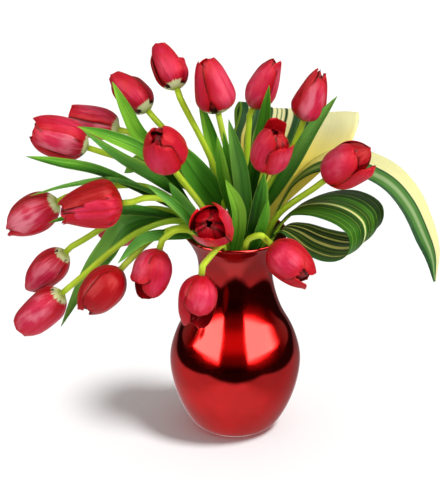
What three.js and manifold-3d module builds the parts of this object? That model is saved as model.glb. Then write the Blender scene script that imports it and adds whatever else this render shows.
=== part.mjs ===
// Twenty cut tulips and three striped aspidistra leaves, standing in a round-bellied vase of water.
// Millimetres, +Z up. The origin is the centre of the vase's foot, and -Y faces the viewer.
// Every tulip is a stem with its own leaves, and a bloom of six petals that sits on the stem's top.

import * as THREE from "three";
import { mergeVertices } from "three/addons/utils/BufferGeometryUtils.js";
import Module from "manifold-3d";

const wasm = await Module();
wasm.setup();

// Driving dimensions

const vase = {
  height: 215,
  wall: 3.5,
  floor: 6,
  segments: 22,
  rings: 11,
  // outside radius at each height, from the foot to just under the lip
  outline: [
    [36, 0],
    [44, 6],
    [55.5, 26],
    [64, 52],
    [66.4, 78],
    [60, 103],
    [47, 129],
    [39.5, 153],
    [37, 172],
    [39, 189],
    [46, 204],
    [52, 213],
  ],
};
const waterLevel = 150;
const waterLevelRadius = 39.5; // the vase's outside radius at the water's level
const waterGap = 0.8; // all round, at the glass
const throatHeight = 172; // the narrowest place in the vase's neck
const gap = 0.3; // left between pieces that touch
const cornerHeight = 6; // the floor's edge inside the vase is this far below the first ring of the wall
const lip = { drop: 0.6, inset: 0.2 }; // the rounding of the rim's outer edge

const stemRadius = 3.4;
const stemTaper = 0.1; // how much thinner a stem is at its top, as a share
const stemSides = 6;
const stemSteps = 8;
const throatLead = 8; // a stem runs straight up this far past the throat
const neckLead = 9; // and along its bloom's axis for this far at the top
const holeClearance = 0.45; // round each stem, in the water

const petalThickness = 1.0;
const seat = { radius: 3.4, topRadius: 6.2, height: 4.4 }; // what a bloom's petals grow from
const outerPetal = { foot: 0.2, inset: 0, reach: 1, stations: [0.006, 0.12, 0.42, 0.8, 1], across: 3 };
const innerPetal = { foot: 3.4, inset: 0.18, reach: 0.97, stations: [0.006, 0.3, 1], across: 2 };
const petalSpread = 1.05; // a petal's half width, as a share of the bloom's

const leafThickness = 0.8;
const leafFold = 0.35; // how far a leaf's edges rise over its middle, as a share of its half width
const leafAcross = 0.94; // and how wide the fold leaves it
const leafStations = [0, 0.22, 0.48, 0.76, 1];

const stripeLeafThickness = 1.0;
const stripeLeafFold = 0.05;
const stalkRadii = [2.6, 2.4, 2.2, 1.8, 1.2];
const front = new THREE.Vector3(0, -0.91, 0.41); // before its turn, a bloom's first petal faces this way

// Each tulip: its place in the throat, the points its stem bends through, its neck (the stem's top),
// the point its bloom aims at, the bloom's length and half width, how near the petal tips come to
// the axis (0 closed, 1 as wide as the belly), its turn about its own axis in degrees, and how far
// single petals stand out. Leaves: points from the stem to the tip, half width, and the way the
// upper side faces.
const tulips = [
  {
    id: "01", throat: [-9, 8],
    via: [[-18, 10, 268]],
    neck: [-57, 20, 356], aim: [-72, 48, 394],
    length: 49, girth: 16.5, tip: 0.42, turn: -10,
    leaves: [
      { from: 0.3, points: [[-38, -12, 276], [-62, -16, 318]], half: 16, face: [0.5, -0.8, 0.4] },
      { from: 0.33, points: [[-22, 28, 290], [-37, 38, 343]], half: 8, face: [0.2, -1, 0.2] },
    ],
  },
  {
    id: "02", throat: [1, 2],
    via: [[-2, 4, 262]],
    neck: [-17, 10, 335], aim: [-29, 12, 393],
    length: 57, girth: 19, tip: 0.4, turn: 52,
    leaves: [
      { from: 0.3, points: [[-13, -16, 281], [-18, -20, 323]], half: 7, face: [0.3, -0.9, 0.3] },
      { from: 0.36, points: [[-4, -14, 280], [-12, -16, 326]], half: 7, face: [-0.3, -0.9, 0.3] },
    ],
  },
  {
    id: "03", throat: [8, 9],
    via: [[10, 14, 262]],
    neck: [17, 25, 335], aim: [39, 20, 389],
    length: 55, girth: 16.5, tip: 0.4, turn: -35,
    leaves: [
      { from: 0.3, points: [[26, 0, 312], [32, -6, 369]], half: 9, face: [-0.4, -0.9, 0.2] },
    ],
  },
  {
    id: "04", throat: [17, 4],
    via: [[28, 6, 250], [50, 11, 284]],
    neck: [67, 15, 327], aim: [83, 6, 384],
    length: 57, girth: 17, tip: 0.4, turn: 15,
    leaves: [
      {
        from: 0.32, points: [[55, -4, 283], [76, -4, 323], [98, -2, 357]],
        half: 10, face: [-0.7, -0.6, 0.3],
      },
    ],
  },
  {
    id: "05", throat: [25, -4],
    via: [[40, -4, 230]],
    neck: [88, -10, 273], aim: [135, -28, 318],
    length: 59, girth: 20.5, tip: 0.45, turn: -20,
    stand: [0, 0, 0.16, 0, 0, 0],
  },
  {
    id: "06", throat: [12, -11],
    via: [[17, -20, 232]],
    neck: [28, -30, 292], aim: [41, -56, 354],
    length: 54, girth: 18.5, tip: 0.5, turn: -50,
    stand: [0, 0, 0.2, 0, 0, 0.3],
    leaves: [
      { from: 0.15, points: [[22, -46, 261], [27, -54, 298]], half: 9, face: [0.2, -0.9, 0.3] },
      { from: 0.12, points: [[5, -24, 287], [-7, -26, 342]], half: 9, face: [-0.2, -0.9, 0.3] },
    ],
  },
  {
    id: "07", throat: [-10, -11],
    via: [[-26, -24, 238]],
    neck: [-63, -38, 302], aim: [-76, -72, 351],
    length: 51, girth: 20.5, tip: 0.6, turn: 10,
    leaves: [
      { from: 0.25, points: [[-50, -44, 258], [-64, -54, 288]], half: 8, face: [0.3, -0.9, 0.3] },
    ],
  },
  {
    id: "08", throat: [-14, 15],
    via: [[-28, 20, 262]],
    neck: [-86, 32, 329], aim: [-119, 56, 362],
    length: 51, girth: 16.5, tip: 0.42, turn: -10,
    leaves: [
      {
        from: 0.55, points: [[-92, 2, 313], [-107, -2, 343], [-119, -3, 372]],
        half: 8, face: [0.5, -0.8, -0.2],
      },
    ],
  },
  {
    id: "09", throat: [-7, 21],
    via: [[-30, 32, 250], [-89, 45, 291]],
    neck: [-116, 52, 302], aim: [-164, 68, 309],
    length: 52, girth: 16.5, tip: 0.6, turn: 20,
    stand: [0, 0, 0, 0, 0.3, 0.1],
    leaves: [
      { from: 0.35, points: [[-92, 60, 270], [-120, 66, 257]], half: 9, face: [0, -0.7, 0.7] },
    ],
  },
  {
    id: "10", throat: [-19, 7],
    via: [[-29, 9, 206], [-46, 8, 239], [-81, 9, 276]],
    neck: [-145, 12, 298], aim: [-201, 18, 315],
    length: 58, girth: 20, tip: 0.5, turn: 20,
    stand: [0, 0, 0, 0, 0.2, 0],
    leaves: [
      {
        from: 0.34, points: [[-88, -12, 301], [-122, -14, 319], [-153, -14, 330]],
        half: 8, face: [0.2, -0.7, 0.7],
      },
      {
        from: 0.42, points: [[-78, -17, 278], [-112, -20, 301], [-148, -18, 328]],
        half: 8, face: [-0.2, -0.8, 0.5],
      },
    ],
  },
  {
    id: "11", throat: [-19, -2],
    via: [[-31, -3, 206], [-55, -5, 243], [-88, -2, 262], [-127, 4, 260]],
    neck: [-176, 8, 243], aim: [-230, 18, 208],
    length: 61, girth: 19.5, tip: 0.5, turn: 0,
    leaves: [
      {
        from: 0.32, points: [[-133, -12, 282], [-172, -12, 291], [-205, -6, 296]],
        half: 7, face: [0, -0.5, 0.9],
      },
      {
        from: 0.4, points: [[-117, -18, 275], [-160, -22, 272], [-201, -22, 261]],
        half: 4, face: [0, -0.4, 0.9],
      },
    ],
  },
  {
    id: "12", throat: [-18, -11],
    via: [[-24, -13, 206], [-57, -30, 256], [-86, -42, 267]],
    neck: [-109, -52, 266], aim: [-166, -62, 264],
    length: 60, girth: 22, tip: 0.6, turn: 15,
  },
  {
    id: "13", throat: [-28, 4],
    via: [[-37, 4, 206], [-53, 4, 228], [-92, 6, 235]],
    neck: [-170, 5, 189], aim: [-214, 16, 140],
    length: 61, girth: 18.5, tip: 0.5, turn: 0,
    leaves: [
      {
        from: 0.3, points: [[-108, -20, 245], [-148, -18, 241], [-185, -10, 227]],
        half: 7, face: [0, -0.6, 0.8],
      },
      {
        from: 0.35, points: [[-107, -6, 222], [-126, -4, 195], [-146, -3, 167], [-177, -2, 109]],
        half: 14, face: [-0.5, -0.7, 0.5],
      },
    ],
  },
  {
    id: "14", throat: [-27, -5],
    via: [[-37, -7, 206], [-54, -11, 229], [-94, -19, 222]],
    neck: [-172, -28, 159], aim: [-222, -18, 108],
    length: 63, girth: 20, tip: 0.5, turn: -5,
  },
  {
    id: "15", throat: [-25, -13],
    via: [[-34, -18, 206], [-50, -27, 229], [-78, -36, 224]],
    neck: [-112, -47, 194], aim: [-151, -62, 153],
    length: 56, girth: 19.5, tip: 0.5, turn: -25,
    leaves: [
      { from: 0.35, points: [[-88, -46, 226], [-115, -54, 203]], half: 6, face: [0, -0.8, 0.6] },
    ],
  },
  {
    id: "16", throat: [-18, -20],
    via: [[-25, -27, 204], [-40, -40, 230], [-58, -49, 236]],
    neck: [-74, -50, 217], aim: [-89, -61, 168],
    length: 54, girth: 18.5, tip: 0.6, turn: 50,
    stand: [0, 0, 0.15, 0, 0, 0.1],
    leaves: [
      {
        from: 0.3, points: [[-52, -55, 257], [-68, -61, 275], [-85, -64, 290]],
        half: 5, face: [0.4, -0.8, 0.4],
      },
    ],
  },
  {
    id: "17", throat: [-3, -20],
    via: [[-8, -30, 214]],
    neck: [-19, -48, 233], aim: [-28, -98, 268],
    length: 55, girth: 20, tip: 0.85, turn: 0,
    leaves: [
      { from: 0.15, points: [[2, -40, 252], [-10, -44, 287]], half: 8, face: [0.3, -0.9, 0.3] },
    ],
  },
  {
    id: "18", throat: [-9, -28],
    via: [[-11, -37, 205], [-13, -46, 219], [-16, -56, 222], [-23, -70, 220]],
    neck: [-33, -84, 205], aim: [-40, -92, 150],
    length: 56, girth: 18.5, tip: 0.65, turn: -30,
  },
  {
    id: "19", throat: [9, -24],
    via: [[9, -38, 208], [13, -47, 226], [24, -52, 232]],
    neck: [34, -52, 223], aim: [76, -68, 187],
    length: 51, girth: 19.5, tip: 0.6, turn: 0,
    leaves: [
      { from: 0.15, points: [[26, -50, 246], [31, -54, 270]], half: 6, face: [0.3, -0.9, 0.2] },
    ],
  },
  {
    id: "20", throat: [-23, 14],
    via: [[-33, 19, 206], [-48, 27, 227]],
    neck: [-88, 40, 211], aim: [-132, 46, 190],
    length: 55, girth: 19, tip: 0.5, turn: 10,
  },
];

// Each striped leaf: its stalk's place in the throat, the blade's centre line, the half width at
// each of those points, and the direction that runs straight across the blade (at its start and
// its end, where the blade twists).
const stripedLeaves = [
  {
    id: "low_loop", throat: [26, -13], across: [[0.454, 0.891, 0]], steps: 17,
    line: [
      [33, -15, 206], [45, -9, 226], [62, 0, 239], [84, 3, 244], [104, 1, 243], [120, -5, 238],
      [129, -9, 230], [131, -10, 218], [127, -8, 206], [117, -5, 199], [102, 0, 196], [82, 1, 202],
      [62, -5, 216], [49, -9, 221], [37, -11, 212], [31, -10, 196],
    ],
    half: [6, 13, 25, 36, 42, 43, 43, 43, 43, 42, 39, 33, 22, 13, 8, 4],
  },
  {
    id: "back_loop", throat: [15, 22], across: [[0.966, -0.26, 0]], steps: 14,
    line: [
      [18, 25, 190], [27, 33, 222], [42, 46, 260], [57, 60, 290], [64, 72, 308], [64, 84, 313],
      [57, 94, 302], [44, 90, 266], [29, 73, 232], [18, 46, 219], [10, 34, 200],
    ],
    half: [6, 16, 42, 61, 62, 62, 60, 44, 24, 12, 5],
  },
  {
    id: "drooping", throat: [27, 7], across: [[0.2, 0.93, 0.3], [0.75, 0.6, 0.25]], steps: 13,
    line: [
      [33, 9, 200], [43, 11, 234], [60, 15, 264], [82, 18, 280], [108, 21, 283], [136, 21, 275],
      [158, 17, 262], [176, 12, 240], [190, 4, 210], [198, -1, 187], [200, -7, 162],
    ],
    half: [5, 9, 14, 18, 19, 19, 18, 17, 15, 10, 1.5],
  },
];

// Materials

const petalRed = new THREE.MeshStandardMaterial({ color: 0xc4152f, roughness: 0.45, metalness: 0 });
const leafGreen = new THREE.MeshStandardMaterial({ color: 0x4c8a2c, roughness: 0.5, metalness: 0 });
const stripeGreen = new THREE.MeshStandardMaterial({ color: 0x3f6f26, roughness: 0.4, metalness: 0 });
const vaseRed = new THREE.MeshStandardMaterial({ color: 0xa8100f, roughness: 0.15, metalness: 0.9 });
const clearWater = new THREE.MeshStandardMaterial({ color: 0xcfe0e2, roughness: 0.05, metalness: 0 });

// Small helpers

const vec = (p) => new THREE.Vector3(...p);

// A closed BufferGeometry from points and triangles.
function closedMesh(points, triangles) {
  const geometry = new THREE.BufferGeometry();
  const numbers = points.flatMap((p) => p.toArray());
  geometry.setAttribute("position", new THREE.Float32BufferAttribute(numbers, 3));
  geometry.setIndex(triangles.flat());
  return geometry;
}

function toSolid(geometry) {
  const bare = new THREE.BufferGeometry();
  bare.setAttribute("position", geometry.getAttribute("position"));
  if (geometry.index) bare.setIndex(geometry.index);
  const merged = mergeVertices(bare, 1e-4);
  return new wasm.Manifold(
    new wasm.Mesh({
      numProp: 3,
      vertProperties: new Float32Array(merged.attributes.position.array),
      triVerts: new Uint32Array(merged.index.array),
    }),
  );
}

function toGeometry(solid) {
  const mesh = solid.getMesh();
  const geometry = new THREE.BufferGeometry();
  geometry.setAttribute("position", new THREE.BufferAttribute(mesh.vertProperties, 3));
  geometry.setIndex(new THREE.BufferAttribute(mesh.triVerts, 1));
  return geometry;
}

const join = (geometries) => toGeometry(geometries.map(toSolid).reduce((a, b) => a.add(b)));

// The curve through some points, as count + 1 points evenly spaced along it.
function smoothLine(points, count) {
  return new THREE.CatmullRomCurve3(points, false, "centripetal").getSpacedPoints(count);
}

// A round rod along a line of points, with one radius for each point and flat ends.
function rod(line, radii, sides) {
  const points = [];
  const triangles = [];
  let side = new THREE.Vector3(0, 1, 0);
  line.forEach((centre, i) => {
    const ahead = line[Math.min(i + 1, line.length - 1)].clone().sub(line[Math.max(i - 1, 0)]).normalize();
    side = side.clone().addScaledVector(ahead, -side.dot(ahead)).normalize();
    const other = new THREE.Vector3().crossVectors(ahead, side);
    for (let k = 0; k < sides; k++) {
      const angle = (2 * Math.PI * k) / sides;
      const outward = side.clone().multiplyScalar(Math.cos(angle)).addScaledVector(other, Math.sin(angle));
      points.push(centre.clone().addScaledVector(outward, radii[i]));
    }
    for (let k = 0; k < sides && i > 0; k++) {
      const [a, b] = [(i - 1) * sides + k, (i - 1) * sides + ((k + 1) % sides)];
      triangles.push([a, b, b + sides], [a, b + sides, a + sides]);
    }
  });
  const last = (line.length - 1) * sides;
  for (let k = 1; k < sides - 1; k++) triangles.push([0, k + 1, k], [last, last + k, last + k + 1]);
  return closedMesh(points, triangles);
}

// A thin sheet with two faces and an edge. surface(s, t) gives its middle: s runs along from 0 to 1,
// and t across from -1 to 1.
function sheet(stations, acrossCount, surface, thickness) {
  const step = 1e-3;
  const faces = [[], []];
  for (const s of stations) {
    for (let j = 0; j <= acrossCount; j++) {
      const t = -1 + (2 * j) / acrossCount;
      const [s0, s1] = [Math.max(s - step, 0), Math.min(s + step, 1)];
      const along = surface(s1, t).sub(surface(s0, t));
      const across = surface(s, t + step).sub(surface(s, t - step));
      const normal = along.cross(across).normalize();
      faces[0].push(surface(s, t).addScaledVector(normal, thickness / 2));
      faces[1].push(surface(s, t).addScaledVector(normal, -thickness / 2));
    }
  }
  const [rows, columns] = [stations.length, acrossCount + 1];
  const back = rows * columns;
  const at = (i, j) => i * columns + j;
  const triangles = [];
  for (let i = 0; i < rows - 1; i++) {
    for (let j = 0; j < columns - 1; j++) {
      const [a, b, c, d] = [at(i, j), at(i + 1, j), at(i + 1, j + 1), at(i, j + 1)];
      triangles.push([a, b, c], [a, c, d]);
      triangles.push([back + a, back + c, back + b], [back + a, back + d, back + c]);
    }
  }
  const rim = [];
  for (let i = 0; i < rows - 1; i++) {
    rim.push([at(i, 0), at(i + 1, 0)], [at(i + 1, columns - 1), at(i, columns - 1)]);
  }
  for (let j = 0; j < columns - 1; j++) {
    rim.push([at(rows - 1, j), at(rows - 1, j + 1)], [at(0, j + 1), at(0, j)]);
  }
  for (const [p, q] of rim) {
    triangles.push([q, p, back + p], [q, back + p, back + q]);
  }
  return closedMesh([...faces[0], ...faces[1]], triangles);
}

// The bloom, upright, with its seat at the origin

const bellyHeight = 0.38; // where a bloom is widest, as a share of its length
const widestPetal = THREE.MathUtils.degToRad(55);

// Radius of the bloom at share s of its length, for a half width of 1.
function bloomOutline(s, tip) {
  if (s < bellyHeight) return Math.sqrt(1 - (1 - s / bellyHeight) ** 2);
  return 1 - (1 - tip) * ((s - bellyHeight) / (1 - bellyHeight)) ** 2;
}

// Half width of a petal at share s of its length, for a widest half width of 1.
function petalWidth(s) {
  const rise = 0.3 + 0.7 * Math.sin((Math.PI / 2) * Math.min(s / 0.5, 1));
  return Math.max(rise * (1 - Math.max((s - 0.5) / 0.5, 0) ** 3) ** 0.6, 0.06);
}

// Petals 0, 2 and 4 are the outer ones. The inner ones start higher, inside the outer ones.
function petal(bloom, index) {
  const kind = index % 2 === 1 ? innerPetal : outerPetal;
  const inset = kind.inset * bloom.girth;
  const reach = kind.reach * bloom.length;
  const middle = (index * Math.PI) / 3;
  const stand = (bloom.stand ?? [])[index] ?? 0;
  const surface = (s, t) => {
    const upper = Math.max((s - 0.3) / 0.7, 0);
    const belly = bloomOutline(s, bloom.tip) * (bloom.girth - inset);
    const halfWidth = petalWidth(s) * bloom.girth * petalSpread;
    const angle = Math.min(halfWidth / Math.max(belly, 1), widestPetal);
    const radius = belly + stand * bloom.girth * upper ** 1.6;
    const sag = 0.25 * Math.abs(stand) * bloom.length * upper ** 2;
    const height = kind.foot + (reach - kind.foot) * s - sag;
    const turn = middle + t * angle;
    return new THREE.Vector3(radius * Math.cos(turn), radius * Math.sin(turn), height);
  };
  return sheet(kind.stations, kind.across, surface, petalThickness);
}

// Turns a bloom's own axis, +Z, onto the way it points, with its first petal towards the front.
function bloomPose(tulip) {
  const axis = vec(tulip.aim).sub(vec(tulip.neck)).normalize();
  const first = front.clone().addScaledVector(axis, -front.dot(axis)).normalize();
  const third = new THREE.Vector3().crossVectors(axis, first);
  const place = vec(tulip.neck).addScaledVector(axis, gap);
  const turn = new THREE.Matrix4().makeRotationZ(THREE.MathUtils.degToRad(tulip.turn));
  return new THREE.Matrix4().makeBasis(first, third, axis).setPosition(place).multiply(turn);
}

function bloomMesh(tulip) {
  const seatLine = [new THREE.Vector3(0, 0, 0), new THREE.Vector3(0, 0, seat.height)];
  const base = rod(seatLine, [seat.radius, seat.topRadius], stemSides);
  const petals = [0, 1, 2, 3, 4, 5].map((index) => petal(tulip, index));
  const mesh = new THREE.Mesh(join([base, ...petals]), petalRed);
  mesh.name = `tulip_${tulip.id}_bloom`;
  mesh.applyMatrix4(bloomPose(tulip));
  return mesh;
}

// The stem and its leaves

const footHeight = vase.floor + gap;
const footOf = ([x, y]) => new THREE.Vector3(x, y, footHeight);
const throatOf = ([x, y]) => new THREE.Vector3(x, y, throatHeight);

// A stem is straight in the water, and bends above the throat.
function stemLine(tulip) {
  const axis = vec(tulip.aim).sub(vec(tulip.neck)).normalize();
  const throat = throatOf(tulip.throat);
  const neck = vec(tulip.neck);
  const lead = throat.clone().setZ(throatHeight + throatLead);
  const top = neck.clone().addScaledVector(axis, -neckLead);
  const points = [throat, lead, ...tulip.via.map(vec), top];
  return [footOf(tulip.throat), ...smoothLine(points, stemSteps), neck];
}

// Half width of a leaf at share s of its length, for a widest half width of 1.
function leafWidth(s) {
  const shape = (x) => (x + 0.03) ** 0.7 * (1 - x) ** 0.9;
  return Math.max(shape(s) / shape(0.42), 0.04);
}

// A leaf starts on its stem, at a share of the stem's bending part.
function leaf({ from, points, half, face }, stem) {
  const start = smoothLine(stem.slice(1), 100)[Math.round(100 * from)];
  const curve = new THREE.CatmullRomCurve3([start, ...points.map(vec)], false, "centripetal");
  const up = vec(face).normalize();
  const surface = (s, t) => {
    const ahead = curve.getTangent(s);
    const side = new THREE.Vector3().crossVectors(ahead, up).normalize();
    const normal = new THREE.Vector3().crossVectors(side, ahead);
    const width = half * leafWidth(s);
    const point = curve.getPoint(s).addScaledVector(side, leafAcross * width * t);
    return point.addScaledVector(normal, leafFold * width * t * t);
  };
  return sheet(leafStations, 2, surface, leafThickness);
}

function stemMesh(tulip) {
  const line = stemLine(tulip);
  const radii = line.map((_, i) => stemRadius * (1 - (stemTaper * i) / (line.length - 1)));
  const leaves = (tulip.leaves ?? []).map((one) => leaf(one, line));
  const mesh = new THREE.Mesh(join([rod(line, radii, stemSides), ...leaves]), leafGreen);
  mesh.name = `tulip_${tulip.id}_stem`;
  return mesh;
}

// The striped leaves

function stalkLine(plant) {
  const throat = throatOf(plant.throat);
  return [footOf(plant.throat), throat, ...plant.line.slice(0, 3).map(vec)];
}

function stripedMesh(plant) {
  const curve = new THREE.CatmullRomCurve3(plant.line.map(vec), false, "centripetal");
  const widthPoints = plant.half.map((half, i) => new THREE.Vector3(i, half, 0));
  const widths = new THREE.CatmullRomCurve3(widthPoints, false, "centripetal");
  const [first, last] = [plant.across[0], plant.across.at(-1)].map(vec);
  const surface = (s, t) => {
    const across = first.clone().lerp(last, s).normalize();
    const ahead = curve.getTangent(s);
    const normal = new THREE.Vector3().crossVectors(across, ahead).normalize();
    const half = widths.getPoint(s).y;
    const point = curve.getPoint(s).addScaledVector(across, half * t);
    return point.addScaledVector(normal, stripeLeafFold * half * (t * t - 0.5));
  };
  const count = plant.steps;
  const stations = Array.from({ length: count + 1 }, (_, i) => i / count);
  const blade = sheet(stations, 3, surface, stripeLeafThickness);
  const stalk = rod(stalkLine(plant), stalkRadii, stemSides);
  const mesh = new THREE.Mesh(join([stalk, blade]), stripeGreen);
  mesh.name = `striped_leaf_${plant.id}`;
  return mesh;
}

// The vase and the water

// The lathe turns about Y, so its result is tipped up to stand on Z.
const turned = (profile) => new THREE.LatheGeometry(profile, vase.segments).rotateX(Math.PI / 2);

const outside = new THREE.SplineCurve(vase.outline.map(([r, z]) => new THREE.Vector2(r, z)));

function vaseMesh() {
  const wallLine = outside.getSpacedPoints(vase.rings);
  const inner = wallLine
    .filter((p) => p.y > vase.floor + cornerHeight)
    .map((p) => new THREE.Vector2(p.x - vase.wall, p.y))
    .reverse();
  const rim = vase.outline.at(-1)[0];
  const profile = [
    new THREE.Vector2(0, 0),
    ...wallLine,
    new THREE.Vector2(rim - lip.inset, vase.height - lip.drop),
    new THREE.Vector2(rim - vase.wall / 2, vase.height),
    ...inner,
    new THREE.Vector2(vase.outline[0][0], vase.floor),
    new THREE.Vector2(0, vase.floor),
  ];
  const mesh = new THREE.Mesh(turned(profile), vaseRed);
  mesh.name = "vase";
  return mesh;
}

function waterMesh() {
  const inset = vase.wall + waterGap;
  const side = outside
    .getSpacedPoints(vase.rings)
    .filter((p) => p.y > vase.floor + cornerHeight && p.y < waterLevel - cornerHeight)
    .map((p) => new THREE.Vector2(p.x - inset, p.y));
  const profile = [
    new THREE.Vector2(0, vase.floor + gap),
    new THREE.Vector2(vase.outline[0][0] - 1, vase.floor + gap),
    ...side,
    new THREE.Vector2(waterLevelRadius - inset, waterLevel),
    new THREE.Vector2(0, waterLevel),
  ];
  const holeRadius = stemRadius + holeClearance;
  let body = toSolid(turned(profile));
  for (const { throat } of [...tulips, ...stripedLeaves]) {
    const line = [new THREE.Vector3(...throat, 0), throatOf(throat)];
    body = body.subtract(toSolid(rod(line, [holeRadius, holeRadius], stemSides)));
  }
  const mesh = new THREE.Mesh(toGeometry(body), clearWater);
  mesh.name = "water";
  return mesh;
}

// Assembly

const arrangement = new THREE.Group();
arrangement.name = "tulips_in_vase";
arrangement.add(vaseMesh(), waterMesh());
for (const tulip of tulips) arrangement.add(stemMesh(tulip), bloomMesh(tulip));
for (const plant of stripedLeaves) arrangement.add(stripedMesh(plant));

export default arrangement;
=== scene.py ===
import bpy
import numpy as np
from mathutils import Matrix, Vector


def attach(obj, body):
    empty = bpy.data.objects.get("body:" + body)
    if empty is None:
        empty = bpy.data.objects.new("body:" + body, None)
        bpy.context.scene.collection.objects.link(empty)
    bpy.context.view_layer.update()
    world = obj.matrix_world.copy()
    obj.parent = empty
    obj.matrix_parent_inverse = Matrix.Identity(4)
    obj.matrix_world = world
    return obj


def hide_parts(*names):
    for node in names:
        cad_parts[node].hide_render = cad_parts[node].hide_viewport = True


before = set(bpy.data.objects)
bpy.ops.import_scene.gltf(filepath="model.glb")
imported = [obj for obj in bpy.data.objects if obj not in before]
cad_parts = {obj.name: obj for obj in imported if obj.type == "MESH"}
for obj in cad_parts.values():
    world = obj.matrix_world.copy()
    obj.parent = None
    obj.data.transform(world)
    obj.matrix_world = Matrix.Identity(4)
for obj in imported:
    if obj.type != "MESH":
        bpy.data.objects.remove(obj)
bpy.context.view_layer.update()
mm = 0.001
fine = 1.0  # share of the rows in each grid

# Camera

camera = {
    "target": (-12.9, 0.0, 193.3),
    "elevation": 24.0,
    "distance": 2000.0,
    "focalPixels": 2000.0,
    "imageHeight": 500,
    "sensor": 36.0,
}


def makeCamera():
    tilt = np.radians(camera["elevation"])
    back = Vector((0, -np.cos(tilt), np.sin(tilt)))
    data = bpy.data.cameras.new("camera")
    data.sensor_width = camera["sensor"]
    data.lens = camera["focalPixels"] / camera["imageHeight"] * camera["sensor"]
    data.clip_start, data.clip_end = 0.1, 50
    seen = bpy.data.objects.new("camera", data)
    seen.location = (Vector(camera["target"]) + back * camera["distance"]) * mm
    seen.rotation_euler = (-back).to_track_quat("-Z", "Y").to_euler()
    bpy.context.collection.objects.link(seen)
    bpy.context.scene.camera = seen


makeCamera()
print("camera ready")

# Lines


# A smooth line through knots: each span is a cubic whose end slopes weigh the neighbours by the
# square root of their distance. s runs from 0 to 1, with the same share for every span.
def curveAt(knots, s):
    k = np.asarray(knots, float)
    s = np.atleast_1d(np.asarray(s, float))
    k = np.vstack([2 * k[0] - k[1], k, 2 * k[-1] - k[-2]])
    span = np.clip((s * (len(k) - 3)).astype(int), 0, len(k) - 4)
    w = (s * (len(k) - 3) - span)[:, None]
    a, b, c, d = (k[span + i] for i in range(4))
    ab, bc, cd = (np.linalg.norm(q - p, axis=1, keepdims=True) ** 0.5 for p, q in ((a, b), (b, c), (c, d)))
    start = ((b - a) / ab - (c - a) / (ab + bc) + (c - b) / bc) * bc
    end = ((c - b) / bc - (d - b) / (bc + cd) + (d - c) / cd) * bc
    return b + start * w + (3 * (c - b) - 2 * start - end) * w**2 + (2 * (b - c) + start + end) * w**3


denseSteps = 800  # pieces that a line is cut into to measure its length


# The same line as count + 1 points spaced evenly along it.
def evenLine(knots, count):
    dense = curveAt(knots, np.linspace(0, 1, denseSteps + 1))
    length = np.r_[0, np.cumsum(np.linalg.norm(np.diff(dense, axis=0), axis=1))]
    at = np.linspace(0, length[-1], count + 1)
    return np.stack([np.interp(at, length, dense[:, i]) for i in range(3)], 1)


# The same direction with length 1.
def unit(v):
    v = np.asarray(v, float)
    return v / np.maximum(np.linalg.norm(v, axis=-1, keepdims=True), 1e-9)


# The direction of a line at s, from the points just before and after it.
def slope(knots, s, near=1e-4):
    return unit(curveAt(knots, np.clip(s + near, 0, 1)) - curveAt(knots, np.clip(s - near, 0, 1)))


# 0 up to start, and from there the share of the way to 1.
def past(s, start):
    return np.maximum((s - start) / (1 - start), 0)


# Meshes


# Two parameters on a grid: s from 0 to 1 along the rows, and t from -1 to 1 across them.
def sheetGrid(shape):
    rows, columns = int(shape["rows"] * fine), int(shape["columns"] * fine)
    return np.meshgrid(np.linspace(0, 1, rows), np.linspace(-1, 1, columns), indexing="ij")


# The four corners of each cell of a grid, by number. wrap joins the last column to the first.
def gridQuads(rows, columns, wrap=False):
    i, j = np.meshgrid(np.arange(rows - 1), np.arange(columns if wrap else columns - 1), indexing="ij")
    k = (j + 1) % columns
    quads = [i * columns + j, (i + 1) * columns + j, (i + 1) * columns + k, i * columns + k]
    return np.stack(quads, -1).reshape(-1, 4)


# What makePiece joins. place says where a point lies: across, along and the part's own number.
def makePart(points, faces, paint, place=0.0, look=0.0, shade=0.0):
    count = len(points)
    place, look = np.broadcast_to(place, (count, 3)), np.broadcast_to(look, (count, 3))
    shade = np.broadcast_to(shade, count)
    return {"points": points, "faces": faces, "paint": paint, "place": place, "look": look, "shade": shade}


# A thin sheet: the middle surface moved half its thickness along its normal to both sides, and
# closed along its edge. look is two values, and the third one is 0 on the front and 1 on the back.
def sheetPart(middle, thickness, place, look, paint, shade=0.0):
    rows, columns = middle.shape[:2]
    normal = unit(np.cross(np.gradient(middle, axis=1), np.gradient(middle, axis=0)))
    half = (thickness / 2)[..., None] * normal
    points = np.concatenate([(middle + half).reshape(-1, 3), (middle - half).reshape(-1, 3)])
    back = gridQuads(rows, columns) + rows * columns
    front = back[:, ::-1] - rows * columns
    at = np.arange(rows * columns).reshape(rows, columns)
    ring = np.concatenate([at[:, 0], at[-1, 1:], at[-2::-1, -1], at[0, -2:0:-1]])
    following = np.roll(ring, -1)
    rim = np.stack([ring, following, following + rows * columns, ring + rows * columns], -1)
    place = np.stack(np.broadcast_arrays(*place), -1).reshape(-1, 3)
    looks = np.repeat([(*look, 0), (*look, 1)], rows * columns, axis=0)
    shade = np.broadcast_to(shade, (rows, columns)).ravel()
    return makePart(points, [front, back, rim], paint, np.tile(place, (2, 1)), looks, np.tile(shade, 2))


# A blade's middle surface: its line, moved by spread to its side and by rise along its normal.
def bladeSurface(line, side, normal, spread, rise):
    return line[:, None] + side[:, None] * spread[..., None] + normal[:, None] * rise[..., None]


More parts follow.
